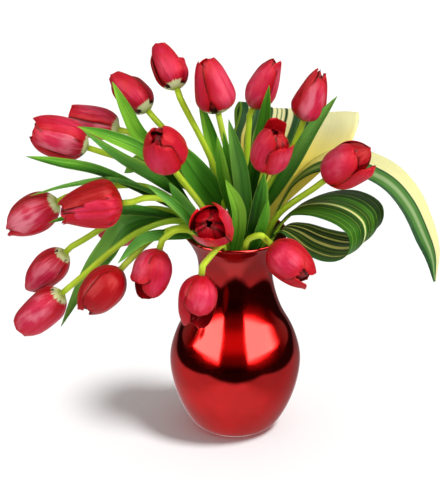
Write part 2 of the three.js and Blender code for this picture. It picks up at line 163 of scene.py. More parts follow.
# A round rod: circles set square to a line, turned so that they don't twist, with a point at each end.
def rodPart(line, radius, sides, paint, number):
    line = np.asarray(line, float)
    count = len(line)
    ahead = unit(np.gradient(line, axis=0))
    side = np.empty_like(line)
    lead = np.array([0.0, 1.0, 0.0]) if abs(ahead[0, 1]) < 0.9 else np.array([1.0, 0.0, 0.0])
    for i in range(count):
        lead = unit(lead - ahead[i] * (lead @ ahead[i]))
        side[i] = lead
    angle = np.linspace(0, 2 * np.pi, sides, endpoint=False)
    cosine, sine = np.cos(angle)[:, None], np.sin(angle)[:, None]
    around = side[:, None] * cosine + np.cross(ahead, side)[:, None] * sine
    rings = line[:, None] + around * np.broadcast_to(radius, (count,))[:, None, None]
    points = np.concatenate([rings.reshape(-1, 3), line[:1], line[-1:]])
    turn = np.arange(sides)
    after = (turn + 1) % sides
    last = (count - 1) * sides
    low = np.stack([after, turn, np.full(sides, count * sides)], -1)
    high = np.stack([last + turn, last + after, np.full(sides, count * sides + 1)], -1)
    along, across = np.meshgrid(np.linspace(0, 1, count), np.cos(angle), indexing="ij")
    place = np.stack([across, along, np.full((count, sides), number)], -1).reshape(-1, 3)
    place = np.concatenate([place, [[0, 0, number], [0, 1, number]]])
    return makePart(points, [gridQuads(count, sides, wrap=True)[:, ::-1], low, high], paint, place)


# A profile turned round +Z: a ring of points for each pair of radius and height.
def lathePart(profile, segments, paint):
    radius, height = np.asarray(profile, float).T[..., None]
    angle = np.linspace(0, 2 * np.pi, segments, endpoint=False)
    rings = np.stack([radius * np.cos(angle), radius * np.sin(angle), height + 0 * angle], -1)
    quads = gridQuads(len(radius), segments, wrap=True)[:, ::-1]
    return makePart(rings.reshape(-1, 3), [quads], paint)


# Parts in millimetres become one object in metres that rides on the body and stands for its node.
def makePiece(name, parts, paints, node, pose=np.eye(4)):
    faces, index, start = [], [], 0
    for part in parts:
        for block in part["faces"]:
            faces += (block + start).tolist()
            index += [part["paint"]] * len(block)
        start += len(part["points"])
    points = np.concatenate([part["points"] for part in parts]) @ pose[:3, :3].T + pose[:3, 3]
    mesh = bpy.data.meshes.new(name)
    mesh.from_pydata((points * mm).tolist(), [], faces)
    for label, kind in (("place", "vector"), ("look", "vector"), ("shade", "value")):
        layer = mesh.attributes.new(label, "FLOAT" if kind == "value" else "FLOAT_VECTOR", "POINT")
        rows = np.concatenate([part[label] for part in parts])
        layer.data.foreach_set(kind, rows.astype(np.float32).ravel())
    mesh.polygons.foreach_set("material_index", np.array(index, np.int32))
    mesh.polygons.foreach_set("use_smooth", np.ones(len(faces), bool))
    for paint in paints:
        mesh.materials.append(paint)
    mesh.update()
    piece = bpy.data.objects.new(name, mesh)
    bpy.context.collection.objects.link(piece)
    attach(piece, "root")
    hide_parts(node)
    return piece


# Paints


# A socket that does sums: each operator on it adds one Math node.
class Wire:
    def __init__(self, paint, socket):
        self.paint, self.socket = paint, socket

    def sum(self, operation, first, second=0.0):
        return self.paint.node("ShaderNodeMath", {"operation": operation}, {0: first, 1: second})

    def __add__(self, other):
        return self.sum("ADD", self, other)

    def __radd__(self, other):
        return self.sum("ADD", other, self)

    def __sub__(self, other):
        return self.sum("SUBTRACT", self, other)

    def __rsub__(self, other):
        return self.sum("SUBTRACT", other, self)

    def __mul__(self, other):
        return self.sum("MULTIPLY", self, other)

    def __rmul__(self, other):
        return self.sum("MULTIPLY", other, self)

    def __truediv__(self, other):
        return self.sum("DIVIDE", self, other)

    def __pow__(self, other):
        return self.sum("POWER", self, other)

    def __neg__(self):
        return self.sum("MULTIPLY", self, -1.0)

    def __abs__(self):
        return self.sum("ABSOLUTE", self)


# A material or a world, to which each method adds nodes.
class Paint:
    def __init__(self, name, kind="materials"):
        self.owner = getattr(bpy.data, kind).new(name)
        self.owner.use_nodes = True
        self.tree = self.owner.node_tree
        self.tree.nodes.clear()

    # Adds a node: its settings first, then its sockets, and gives back one output as a Wire.
    def node(self, kind, settings=None, sockets=None, output=0):
        made = self.tree.nodes.new(kind)
        for name, value in (settings or {}).items():
            setattr(made, name, value)
        for name, value in (sockets or {}).items():
            if isinstance(value, Wire):
                self.tree.links.new(value.socket, made.inputs[name])
            else:
                made.inputs[name].default_value = value
        return Wire(self, made.outputs[output]) if made.outputs else None

    def split(self, vector):
        return [self.node("ShaderNodeSeparateXYZ", {}, {0: vector}, axis) for axis in ("X", "Y", "Z")]

    def vector(self, x, y, z):
        return self.node("ShaderNodeCombineXYZ", {}, {0: x, 1: y, 2: z})

    def attribute(self, name, output="Vector"):
        return self.node("ShaderNodeAttribute", {"attribute_name": name}, output=output)

    def spot(self, output="Object"):
        return self.node("ShaderNodeTexCoord", output=output)

    def ray(self, output):
        return self.node("ShaderNodeLightPath", output=output)

    def noise(self, vector, scale, detail, rough=0.5):
        sockets = {"Vector": vector, "Scale": scale, "Detail": detail, "Roughness": rough}
        return self.node("ShaderNodeTexNoise", {}, sockets, "Fac")

    # Noise along a part: its place, with across, along and number each times a share of its own.
    def grain(self, place, shares, detail=2.0, rough=0.5):
        return self.noise(self.vector(*(v * share for v, share in zip(place, shares))), 1, detail, rough)

    # 0 below low, 1 above high, and a smooth step between. low may be above high.
    def step(self, value, low, high):
        settings = {"interpolation_type": "SMOOTHSTEP"}
        sockets = {"Value": value, "From Min": min(low, high), "From Max": max(low, high)}
        result = self.node("ShaderNodeMapRange", settings, sockets)
        return 1 - result if low > high else result

    def blend(self, share, first, second, kind="MIX"):
        settings = {"data_type": "RGBA", "blend_type": kind, "clamp_factor": True}
        first, second = (v if isinstance(v, Wire) else (*v, 1) for v in (first, second))
        return self.node("ShaderNodeMix", settings, {0: share, 6: first, 7: second}, 2)

    def bump(self, height, distance, strength):
        sockets = {"Strength": strength, "Distance": distance, "Height": height}
        return self.node("ShaderNodeBump", {}, sockets)

    def finish(self, colour, roughness, normal=None, **constants):
        sockets = {"Base Color": colour if isinstance(colour, Wire) else (*colour, 1)}
        sockets["Roughness"] = roughness
        if normal is not None:
            sockets["Normal"] = normal
        sockets.update({name.replace("_", " "): value for name, value in constants.items()})
        shader = self.node("ShaderNodeBsdfPrincipled", {}, sockets)
        self.node("ShaderNodeOutputMaterial", {}, {"Surface": shader})
        return self.owner


petalLook = {
    # the saturated red at a petal's sides, partly its own and partly painted shade
    "edge": (0.42, 0.001, 0.004),
    "body": (0.50, 0.004, 0.016),
    # the pink of the painted sheen, and next pale, its palest painted highlight
    "sheenAndShade": (0.60, 0.017, 0.066),
    "pale": (0.76, 0.19, 0.25),
    # the deeper red of painted shade
    "deep": (0.32, 0.001, 0.003),
    "inside": (0.74, 0.007, 0.014),
    # painted shade further down inside the cup
    "depth": (0.24, 0.001, 0.003),
    "heart": (0.02, 0.001, 0.002),
    # painted shade beside a petal that lies over this one, and in its folds
    "paintedSeamShade": (0.06, 0.0005, 0.001),
    "base": (0.66, 0.70, 0.36),
    "foot": (0.50, 0.60, 0.08),
    "mark": (0.012, 0.015, 0.012),
    # how dark that painted shade is
    "seamShadeShare": 0.92,  # how dark the line beside another petal is
    "jag": 0.13,  # how uneven the cream base's upper edge is
    "roughness": 0.38,
    "specular": 0.2,
    "bump": (0.0014, 0.7),  # distance in metres and strength
}


# look holds the painted sheen and shade (-1 painted shade in a deeper red, 1 the palest painted
# highlight; beyond 0.6 either way it also lightens or deepens the painted shade inside), how far up
# the cream base reaches (below 0 the foot is nearly black), and the side (1 inside). shade is painted
# shade: 1 right beside a petal that lies over this one, and more in its folds.
def paintPetal():
    p, tone = Paint("petal"), petalLook
    place = p.split(p.attribute("place"))
    across, along = place[:2]
    sheenAndShade, cream, side = p.split(p.attribute("look"))
    reach = abs(across)
    streak = p.grain(place, (6, 1.2, 7.3), 3)
    fineStreak = p.grain(place, (24, 2.2, 3.1))
    cloud = p.grain(place, (1.6, 2.4, 5.7))
    sway = streak - 0.5
    streaky = streak * 0.65 + fineStreak * 0.35
    # Painted sheen: a pink highlight down the middle of each petal, with paler painted highlights in it,
    # both growing with the petal's painted sheen.
    rise = p.step(along + sway * 0.4, 0.02, 0.3) * p.step(along + sway * 0.5, 1.02, 0.7)
    sheen = p.step(reach + sway * 0.7, 0.95, 0.25) * rise
    pink = sheen * p.step(cloud + sheenAndShade * 0.25 + sway * 0.4, 0.30, 0.66)
    paler = sheen * p.step(streaky * 0.6 + (cloud - 0.5) * 1.3 + sheenAndShade * 0.14, 0.30, 0.62)
    # Towards its sides a petal turns to that red, partly its own colour and partly painted shade.
    colour = p.blend(p.step(reach + sway * 0.2, 0.72, 0.98), tone["body"], tone["edge"])
    colour = p.blend(pink * p.step(sheenAndShade, -0.6, 0.5), colour, tone["sheenAndShade"])
    colour = p.blend(paler * p.step(sheenAndShade, 0.1, 1.4), colour, tone["pale"])
    colour = p.blend(p.step(streaky, 0.5, 0.34) * 0.35, colour, tone["edge"])
    # Below 0 the petal turns to the deeper red of painted shade.
    colour = p.blend(p.step(sheenAndShade, 0.0, -1.0), colour, tone["deep"])
    # Painted shade inside the cup: the inside darkens from near its tip down to depth, and the painted sheen
    # and shade beyond 0.6 lightens or deepens it. Near the foot it turns to the nearly black heart.
    lit = along + sway * 0.1 + (p.step(sheenAndShade, 0.6, 1.0) - p.step(sheenAndShade, -0.6, -1.0)) * 0.3
    inner = p.blend(p.step(lit, 0.92, 0.5), tone["inside"], tone["depth"])
    inner = p.blend(p.step(along, 0.4, 0.12), inner, tone["heart"])
    colour = p.blend(side, colour, inner)
    patch = p.step(cream, -0.8, -0.9) * 0.09 + 0.08
    foot = p.step(cream, -0.5, -0.6) * p.step(along + sway * 0.16 - patch, 0.035, -0.035)
    colour = p.blend(foot, colour, tone["heart"])
    jag = (p.grain(place, (8, 2, 9.1), 3, 0.75) - 0.5) * tone["jag"] * p.step(cream, 0.01, 0.06)
    base = p.step(along + jag - cream, 0.012, -0.012) * (1 - side) * p.step(cream, 0.0, 0.02)
    colour = p.blend(base, colour, p.blend(p.step(along, 0.0, 0.05), tone["foot"], tone["base"]))
    spots = p.step(p.grain(place, (2.6, 9, 4.4), 1), 0.58, 0.64)
    mark = spots * base * p.step(along - cream, -0.09, -0.02) * p.step(reach, 0.5, 0.7)
    colour = p.blend(mark, colour, tone["mark"])
    # Painted shade beside a petal that lies over this one, and in its folds.
    paintedSeamShade = p.step(p.attribute("shade", "Fac"), 0.0, 0.9) * tone["seamShadeShare"]
    colour = p.blend(paintedSeamShade, colour, tone["paintedSeamShade"])
    normal = p.bump(streaky + cloud * 0.5, *tone["bump"])
    return p.finish(colour, tone["roughness"], normal, Specular_IOR_Level=tone["specular"])


leafLook = {
    "dark": (0.008, 0.050, 0.003),
    "mid": (0.055, 0.240, 0.010),
    "light": (0.22, 0.50, 0.035),
    "rim": (0.36, 0.60, 0.09),
    "cool": (0.075, 0.24, 0.060),
    "roughness": 0.38,
    "specular": 0.16,
    "bump": (0.0008, 0.6),
}


# look holds how light the leaf is, from -1 to 1, and how much lighter its right half is than its
# left, which is painted light and shade on its two halves.
def paintLeaf():
    p, tone = Paint("tulipLeaf"), leafLook
    place = p.split(p.attribute("place"))
    across, along, number = place
    level, halfShadeLevel = p.split(p.attribute("look"))[:2]
    vein = p.grain(place, (11, 0.7, 5.3), 3)
    fineVein = p.grain(place, (38, 1.6, 2.3))
    cloud = p.grain(place, (0.9, 2.3, 8.1))
    lift = (vein - 0.5) * 0.9 + (fineVein - 0.5) * 0.5 + (cloud - 0.5) * 0.6 + level + across * halfShadeLevel
    # Painted shade deep in the bunch: a leaf is darker towards its foot, and lighter near its tip.
    lift = lift + p.step(along, 0.0, 0.55) * 0.45 - 0.30 + p.step(along, 0.7, 1.0) * 0.25
    colour = p.blend(p.step(lift, -0.5, 0.12), tone["dark"], tone["mid"])
    colour = p.blend(p.step(lift, 0.05, 0.60), colour, tone["light"])
    cool = p.step(p.noise(p.vector(number * 3.7, number * 1.9, 0.5), 1, 0), 0.48, 0.56)
    colour = p.blend(cool * p.step(lift, -0.3, 0.3) * 0.5, colour, tone["cool"])
    colour = p.blend(p.step(abs(across), 0.10, 0.02) * 0.45, colour, tone["dark"])
    colour = p.blend(p.step(abs(across), 0.9, 0.99) * 0.3, colour, tone["rim"])
    normal = p.bump(vein * 0.6 + fineVein * 0.4, *tone["bump"])
    return p.finish(colour, tone["roughness"], normal, Specular_IOR_Level=tone["specular"])


stemLook = {
    "low": (0.22, 0.46, 0.015),
    "high": (0.45, 0.63, 0.025),
    "pale": (0.62, 0.70, 0.14),
    "roughness": 0.42,
    "specular": 0.2,
    "bump": (0.0005, 0.5),
}


# A stem turns paler towards its bloom, with pale streaks along it.
def paintStem():
    p, tone = Paint("tulipStem"), stemLook
    place = p.split(p.attribute("place"))
    streak = p.grain(place, (4, 3, 6.1), 3)
    cloud = p.grain(place, (1, 6, 3.7))
    along = place[1] + (cloud - 0.5) * 0.5
    colour = p.blend(p.step(along, 0.25, 0.8), tone["low"], tone["high"])
    colour = p.blend(p.step(streak, 0.45, 0.75) * 0.5, colour, tone["pale"])
    normal = p.bump(streak, *tone["bump"])
    return p.finish(colour, tone["roughness"], normal, Specular_IOR_Level=tone["specular"])


heartLook = {  # colour and roughness
    "anther": ((0.03, 0.012, 0.03), 0.7),
    "pistil": ((0.35, 0.42, 0.12), 0.5),
    "bloomSeat": ((0.55, 0.60, 0.25), 0.45),
    "darker": 0.45,
}


# What lies inside a bloom: one tone, with a darker grain along the part.
def paintHeart(name):
    p = Paint(name)
    colour, roughness = heartLook[name]
    grain = p.grain(p.split(p.attribute("place")), (5, 24, 1), 3)
    darker = tuple(heartLook["darker"] * c for c in colour)
    return p.finish(p.blend(p.step(grain, 0.4, 0.7) * 0.6, colour, darker), roughness)


stripeLook = {
    "dark": (0.013, 0.046, 0.005),
    "green": (0.026, 0.110, 0.007),
    "lime": (0.15, 0.30, 0.020),
    "yellow": (0.80, 0.78, 0.12),
    # the stripes' own yellow, set brighter as painted light where they lie in shade
    "bright": (0.96, 0.92, 0.24),
    "cream": (0.74, 0.72, 0.30),
    "pale": (0.74, 0.72, 0.34),
    "cover": (0.86, 0.84, 0.43),
    "teal": (0.010, 0.050, 0.014),
    "moss": (0.045, 0.145, 0.024),
    "olive": (0.11, 0.21, 0.022),
    "silver": (0.24, 0.35, 0.15),
    # above 1 in red, the golden part is also brightened as painted light
    "golden": (1.25, 1.0, 0.18),  # times the colour
    "darker": (0.55, 0.62, 0.45),  # times the colour
    "lighter": (0.10, 0.13, 0.01),  # added to the colour
    "border": 0.006,
    "roughness": 0.42,
    "specular": 0.12,
    "bump": (0.0009, 0.6),
}


# Stripes along a leaf: each is (from, to, colour) across its width, and how soft its border is.
def stripes(p, width, base, rows):
    colour = stripeLook[base]
    for low, high, name, *soft in rows:
        border = soft[0] if soft else stripeLook["border"]
        mask = p.step(width, low - border, low + border) * p.step(width, high + border, high - border)
        colour = p.blend(mask, colour, stripeLook[name])
    return colour


# golden is the share of the leaf up to which it turns golden, partly its own yellow and partly painted
# light shining through it, dim the share up to which it is darker, veined is how strong its veins are,
# and shift is how far its stripes move across it towards its tip.
def paintStriped(leaf):
    p, tone = Paint(leaf["name"]), stripeLook
    place = p.split(p.attribute("place"))
    across, along = place[:2]
    side = p.split(p.attribute("look"))[2]
    golden, veined = leaf["golden"], leaf["veined"]
    cloud = p.grain(place, (2, 4, 1)) - 0.5
    width = across * 0.5 + 0.5 + cloud * 0.02 - p.step(along, 0.4, 1.0) * leaf["shift"]
    colour = p.blend(side, stripes(p, width, *leaf["outside"]), stripes(p, width, *leaf["inside"]))
    gold = p.blend(1.0, colour, tone["golden"], "MULTIPLY")
    colour = p.blend(p.step(along + cloud * 0.1, golden, golden * 0.5) * 0.85, colour, gold)
    vein = p.grain(place, (26, 1.1, 1))
    fineVein = p.grain(place, (70, 1.5, 1))
    darker = p.blend(1.0, colour, tone["darker"], "MULTIPLY")
    lighter = p.blend(1.0, colour, tone["lighter"], "ADD")
    colour = p.blend(p.step(along, leaf["dim"], leaf["dim"] * 0.3), colour, darker)
    colour = p.blend(p.step(fineVein + cloud * 0.4, 0.42, 0.62) * veined, colour, darker)
    colour = p.blend(p.step(vein, 0.58, 0.70) * (veined * 1.2), colour, lighter)
    normal = p.bump(fineVein * 0.4 + vein * 0.6, *tone["bump"])
    return p.finish(colour, tone["roughness"], normal, Specular_IOR_Level=tone["specular"])


petalPaint, leafPaint, stemPaint = paintPetal(), paintLeaf(), paintStem()
antherPaint, pistilPaint, seatPaint = (paintHeart(name) for name in ("anther", "pistil", "bloomSeat"))
print("plant paints ready")

# Tulips

tulipShape = {
    "footHeight": 6.3,
    "throatHeight": 172,
    "throatLead": 8,
    "neckLead": 9,
    "gap": 0.3,
    "front": (0, -0.91, 0.41),
    "stemRadius": 3.4,
    "stemTaper": 0.1,
    "stemSides": 16,
    "stemRows": 56,
    "lowRows": 12,
    "swell": ((0.03, 11), (0.02, 29)),  # share and pace of each wave in the radius
    "leafSteps": (8, 100),  # steps of the stem's line that places the leaves' feet
}


# A petal: its angle from the front in degrees, its length and width as shares of the usual ones, and
# its painted sheen and shade, as paintPetal has them. stand, lift, roll and curl are shares of the
# bloom's half width by which it lies further out: growing with height, all over, at its left and
# right edge, and at its tip. A low blunt makes a flat end. bulge is how far the edges dip, skew turns
# the tip sideways in degrees, ragged makes the end uneven, folds are grooves along it, each as (place
# across, depth), and cream is paintPetal's.
def petal(at, long=1.0, wide=1.0, sheenAndShade=0.5, **own):
    usual = {
        "at": at, "long": long, "wide": wide, "sheenAndShade": sheenAndShade, "stand": 0.0, "lift": 0.0, "roll": (0.0, 0.0),
        "curl": -0.22, "blunt": 0.6, "bulge": 0.07, "skew": 0.0, "ragged": 0.015, "folds": (),
    }
    return usual | own


# A leaf on a stem: the share of the stem where it starts, the points it runs through, its half width
# and the way its face looks. tone says how light it is, and its other look value the painted light
# and shade on its halves, as paintLeaf has them.
def blade(start, points, half, face, **own):
    return {"start": start, "points": points, "half": half, "face": face, **own}


# The same places and sizes as in the part's source: throat is where the stem leaves the vase, via are
# its bends, neck is its upper end and aim the point that the bloom looks at. girth is the bloom's half
# width, tip the share of it that is left at the top, turn the degrees by which the bloom is turned
# round its axis, cream how far up the pale base reaches, belly where it is widest, power how late it
# narrows, slim a share of its width, and lean moves its tip. The petals have numbers, even ones outside.
tulipUsual = {
    "tip": 0.5, "turn": 0, "cream": 0.0, "belly": 0.4, "power": 2.0, "slim": 1.0, "lean": 0.0,
    "petals": {}, "leaves": (),
}

tulips = [
    dict(
        id="01", throat=(-9, 8), via=[(-18, 10, 268)], neck=(-57, 20, 356), aim=(-72, 48, 394), length=49,
        girth=16.5, turn=-10, cream=0.12, belly=0.36, power=2.4, lean=-0.24,
        petals={
            0: petal(-2, 1, 0.97, 0.35, blunt=0.08, curl=-0.04, skew=-14),
            1: petal(58, 0.56, 0.8, 0.1, lift=0.12, curl=0.1, blunt=0.4), 2: petal(112, 0.6, 1, -0.2),
            3: petal(175, 0.9, 1, 0.0), 4: petal(-124, 0.93, 1, -1.0), 5: petal(-66, 0.9, 1, -1.0),
        },
        leaves=[
            blade(0.3, [(-38, -12, 276), (-62, -16, 318)], 16, (0.5, -0.8, 0.4)),
            blade(0.33, [(-22, 28, 290), (-37, 38, 343)], 8, (0.2, -1, 0.2)),
        ],
    ),
    dict(
        id="02", throat=(1, 2), via=[(-2, 4, 262)], neck=(-17, 10, 335), aim=(-29, 12, 393), length=57,
        girth=19, turn=52, cream=0.115, belly=0.3, power=1.35, lean=-0.08,
        petals={
            0: petal(44, 1, 1.02, 0.5, lift=0.10, blunt=0.35, skew=-6, folds=[(0.1, 0.03)]),
            1: petal(100, 0.93, 1, -0.4), 2: petal(168, 0.96, 1, -0.3), 3: petal(-140, 0.93, 1, -0.4),
            4: petal(-72, 0.97, 0.95, 0.1, blunt=0.5, curl=-0.1), 5: petal(-22, 0.86, 1, -1.0, cream=-1.0),
        },
        leaves=[
            blade(0.3, [(-13, -16, 281), (-18, -20, 323)], 7, (0.3, -0.9, 0.3)),
            blade(0.36, [(-4, -14, 280), (-12, -16, 326)], 7, (-0.3, -0.9, 0.3)),
        ],
    ),
    dict(
        id="03", throat=(8, 9), via=[(10, 14, 262)], neck=(17, 25, 335), aim=(39, 20, 389), length=55,
        girth=16.5, tip=0.42, turn=-35, belly=0.36, power=1.6, slim=0.93,
        petals={
            0: petal(-28, 1, 1.08, 0.7, lift=0.05, skew=8, blunt=0.5), 1: petal(22, 0.85, 1, -0.1),
            2: petal(64, 1.05, 0.95, 0.6, blunt=0.8, curl=0.06), 3: petal(140, 0.92, 1, -0.4),
            4: petal(-148, 1, 1, -0.3), 5: petal(-90, 0.95, 1, -0.6),
        },
        leaves=[blade(0.3, [(26, 0, 312), (32, -6, 369)], 9, (-0.4, -0.9, 0.2))],
    ),
    dict(
        id="04", throat=(17, 4), via=[(28, 6, 250), (50, 11, 284)], neck=(67, 15, 327), aim=(83, 6, 384),
        length=57, girth=17, tip=0.36, turn=15, cream=0.02, belly=0.26, power=1.25,
        petals={
            0: petal(12, 0.88, 1, 1.0, lift=0.07, blunt=0.75, curl=-0.16, folds=[(0.3, 0.025)]),
            1: petal(48, 0.94, 1, -0.9, blunt=0.9, curl=-0.16),
            2: petal(94, 0.94, 1, -0.3, blunt=0.8, curl=-0.1), 3: petal(175, 0.86, 1, -0.5),
            4: petal(-80, 1, 1, -0.4, blunt=0.8, curl=-0.16),
            5: petal(-35, 1.02, 1, -0.9, blunt=0.9, curl=-0.2),
        },
        leaves=[blade(0.32, [(55, -4, 283), (76, -4, 323), (98, -2, 357)], 10, (-0.7, -0.6, 0.3))],
    ),
    dict(
        id="05", throat=(25, -4), via=[(40, -4, 230)], neck=(88, -10, 273), aim=(135, -28, 318), length=59,
        girth=20.5, tip=0.62, turn=-20, power=2.4,
        petals={
            0: petal(-30, 0.84, 1.04, 0.6, lift=0.06, blunt=0.4),
            1: petal(-4, 1.05, 1.2, -0.7, lift=-0.04, curl=-0.4, blunt=0.25, folds=[(0.2, 0.06)]),
            2: petal(84, 0.95, 0.84, 0.1, stand=0.32, lift=0.05, blunt=0.7),
            3: petal(172, 1.02, 1, -0.2, curl=-0.45, blunt=0.25), 4: petal(-150, 0.9, 1, -0.2, curl=-0.3),
            5: petal(-80, 1, 1.2, -0.7, curl=-0.42, blunt=0.25),
        },
    ),
    dict(
        id="06", throat=(12, -11), via=[(17, -20, 232)], neck=(28, -30, 292), aim=(41, -56, 354),
        length=54, girth=18.5, tip=0.6, turn=-50, cream=0.02, power=2.2,
        petals={
            0: petal(-44, 1.02, 1, 0.4, curl=-0.22, blunt=0.75, lift=0.03, folds=[(0.45, 0.05)]),
            1: petal(30, 0.96, 1.25, -0.6, curl=-0.34, lift=0.06, blunt=0.2),
            2: petal(52, 0.84, 0.86, 0.5, curl=-0.02, stand=0.10, roll=(0.0, 0.08), blunt=0.5, lift=0.10),
            3: petal(130, 0.94, 1.25, -0.7, curl=-0.36, blunt=0.2),
            4: petal(184, 1.07, 0.6, 1.0, curl=0.05, stand=0.32, blunt=0.3),
            5: petal(-90, 0.94, 1.2, -0.3, curl=-0.4, lift=-0.06, blunt=0.25),
        },
        leaves=[
            blade(0.15, [(22, -46, 261), (27, -54, 298)], 9, (0.2, -0.9, 0.3), tone=-0.3, halfTone=0.45),
            blade(0.12, [(5, -24, 287), (-7, -26, 342)], 9, (-0.2, -0.9, 0.3)),
        ],
    ),
    dict(
        id="07", throat=(-10, -11), via=[(-26, -24, 238)], neck=(-63, -38, 302), aim=(-76, -72, 351),
        length=53, girth=20.5, turn=10, cream=0.02, belly=0.36, power=1.6,
        petals={
            0: petal(-36, 0.92, 1, 0.3, lift=0.13, blunt=0.8, curl=-0.2),
            1: petal(10, 0.94, 1, -0.5, curl=-0.42, blunt=0.3),
            2: petal(64, 1, 1.08, -0.2, lift=0.04, curl=-0.24, blunt=0.4, roll=(0.1, 0.0),
                folds=[(0.3, 0.04)]),
            3: petal(144, 1.06, 1.2, -0.3, curl=-0.36, blunt=0.2),
            4: petal(-122, 0.98, 1, -0.4, curl=-0.16, blunt=0.3),
            5: petal(-80, 0.96, 1.15, -0.3, curl=-0.4, blunt=0.2),
        },
        leaves=[blade(0.25, [(-50, -44, 258), (-64, -54, 288)], 8, (0.3, -0.9, 0.3))],
    ),
    dict(
        id="08", throat=(-14, 15), via=[(-28, 20, 262)], neck=(-86, 32, 329), aim=(-119, 56, 362),
        length=51, girth=16.5, turn=-10, cream=0.13, belly=0.36, power=2.2, lean=-0.2,
        petals={
            0: petal(-2, 1, 1, 0.3, blunt=0.08, curl=-0.04, skew=-14), 1: petal(62, 0.8, 1, 0.0, lift=0.1),
            2: petal(116, 0.72, 1, -0.2), 3: petal(175, 0.9, 1, 0.0), 4: petal(-124, 0.93, 1, -1.0),
            5: petal(-66, 0.9, 1, -1.0),
        },
        leaves=[blade(0.55, [(-92, 2, 313), (-107, -2, 343), (-119, -3, 372)], 8, (0.5, -0.8, -0.2))],
    ),
    dict(
        id="09", throat=(-7, 21), via=[(-30, 32, 250), (-89, 45, 291)], neck=(-116, 52, 302),
        aim=(-164, 68, 309), length=52, girth=16.5, tip=0.76, turn=20, cream=0.1, slim=0.9,
        petals={
            0: petal(-14, 1, 1.05, 1.0, ragged=0.06, blunt=0.2, curl=-0.02, folds=[(-0.35, 0.04)]),
            1: petal(30, 0.94, 1, -1.0),
            2: petal(54, 1, 0.9, 0.6, lift=0.15, blunt=0.15, curl=0.0, ragged=0.05, roll=(0.22, 0.0),
                folds=[(-0.4, 0.09), (0.25, 0.05)]),
            3: petal(118, 0.5, 1, -0.9, lift=0.3), 4: petal(-95, 0.85, 1, -0.2, stand=0.1),
            5: petal(-60, 0.9, 1, -0.4),
        },
        leaves=[blade(0.35, [(-90, 60, 264), (-113, 66, 250)], 11, (0, -0.7, 0.7))],
    ),
    dict(
        id="10", throat=(-19, 7), via=[(-29, 9, 206), (-46, 8, 239), (-81, 9, 276)], neck=(-145, 12, 298),
        aim=(-201, 18, 315), length=58, girth=20, tip=0.64, turn=20, cream=0.08, belly=0.42, power=2.4,
        petals={
            0: petal(-14, 0.96, 1.12, 0.9, blunt=0.3, curl=-0.05, folds=[(-0.5, 0.03)]),
            1: petal(32, 1, 1, -0.1, blunt=0.3, curl=0.0),
            2: petal(60, 1.04, 0.9, 0.2, lift=0.10, stand=-0.06, blunt=1.1, curl=0.02, folds=[(-0.2, 0.04)]),
            3: petal(150, 1, 1, -0.4), 4: petal(-112, 1, 1, -0.3), 5: petal(-68, 0.94, 1, -0.4),
        },
        leaves=[
            blade(0.34, [(-88, -12, 301), (-122, -14, 319), (-153, -14, 330)], 8, (0.2, -0.7, 0.7)),
            blade(0.42, [(-78, -17, 278), (-112, -20, 301), (-148, -18, 328)], 6.5, (-0.2, -0.8, 0.5)),
        ],
    ),
    dict(
        id="11", throat=(-19, -2), via=[(-31, -3, 206), (-55, -5, 243), (-88, -2, 262), (-127, 4, 260)],
        neck=(-176, 8, 243), aim=(-230, 18, 208), length=61, girth=19.5, cream=0.08, belly=0.45,
        petals={
            0: petal(-6, 1, 0.95, 1.4, blunt=0.5, ragged=0.03, lift=0.05), 1: petal(40, 1, 1, -0.9),
            2: petal(78, 0.95, 1.05, -0.8, lift=0.03), 3: petal(170, 1, 1, -0.5),
            4: petal(-84, 1.04, 1, -0.1, ragged=0.07, blunt=0.4, curl=-0.05), 5: petal(-44, 1.02, 1, -1.0),
        },
        leaves=[
            blade(0.32, [(-133, -12, 282), (-172, -12, 291), (-205, -6, 296)], 7, (0, -0.5, 0.9)),
            blade(0.4, [(-117, -18, 275), (-160, -22, 272), (-201, -22, 261)], 4, (0, -0.4, 0.9)),
        ],
    ),
    dict(
        id="12", throat=(-18, -11), via=[(-24, -13, 206), (-57, -30, 256), (-86, -42, 267)],
        neck=(-109, -52, 266), aim=(-166, -62, 264), length=60, girth=22, tip=0.42, turn=15, belly=0.3,
        power=1.6, lean=-0.14,
        petals={
            0: petal(-14, 1, 0.92, 0.4, ragged=0.03, blunt=0.5, lift=0.08,
                folds=[(-0.5, 0.10), (0.0, 0.05), (0.5, 0.08)]),
            1: petal(26, 0.97, 1, -1.0),
            2: petal(60, 1.04, 0.9, -0.9, lift=0.14, blunt=0.9, curl=-0.1, roll=(0.14, 0.0),
                folds=[(-0.1, 0.08)]),
            3: petal(170, 1, 1, -0.5),
            4: petal(-76, 0.97, 1, -0.3, ragged=0.08, blunt=0.4, lift=0.04, curl=0.05,
                folds=[(0.3, 0.10), (-0.2, 0.07)]),
            5: petal(-44, 0.99, 1, -1.0, ragged=0.05),
        },
    ),
    dict(
        id="13", throat=(-28, 4), via=[(-37, 4, 206), (-53, 4, 228), (-92, 6, 235)], neck=(-170, 5, 189),
        aim=(-214, 16, 140), length=61, girth=18.5, cream=0.08, belly=0.42, power=1.7, slim=0.92,
        petals={
            0: petal(-8, 1, 1.12, 0.9, blunt=0.5), 1: petal(50, 1, 1, -0.6), 2: petal(92, 1, 1, 0.0),
            4: petal(-104, 1, 1, -0.3), 5: petal(-66, 1, 1, -0.8),
        },
        leaves=[
            blade(0.3, [(-108, -20, 245), (-148, -18, 241), (-185, -10, 227)], 7, (0, -0.6, 0.8)),
            blade(0.35, [(-107, -6, 222), (-126, -4, 195), (-146, -3, 167), (-177, -2, 109)], 14,
                (-0.5, -0.7, 0.5)),
        ],
    ),
    dict(
        id="14", throat=(-27, -5), via=[(-37, -7, 206), (-54, -11, 229), (-94, -19, 222)],
        neck=(-172, -28, 159), aim=(-222, -18, 108), length=63, girth=20, tip=0.66, turn=-5, cream=0.07,
        belly=0.34, power=2.8, slim=0.9,
        petals={
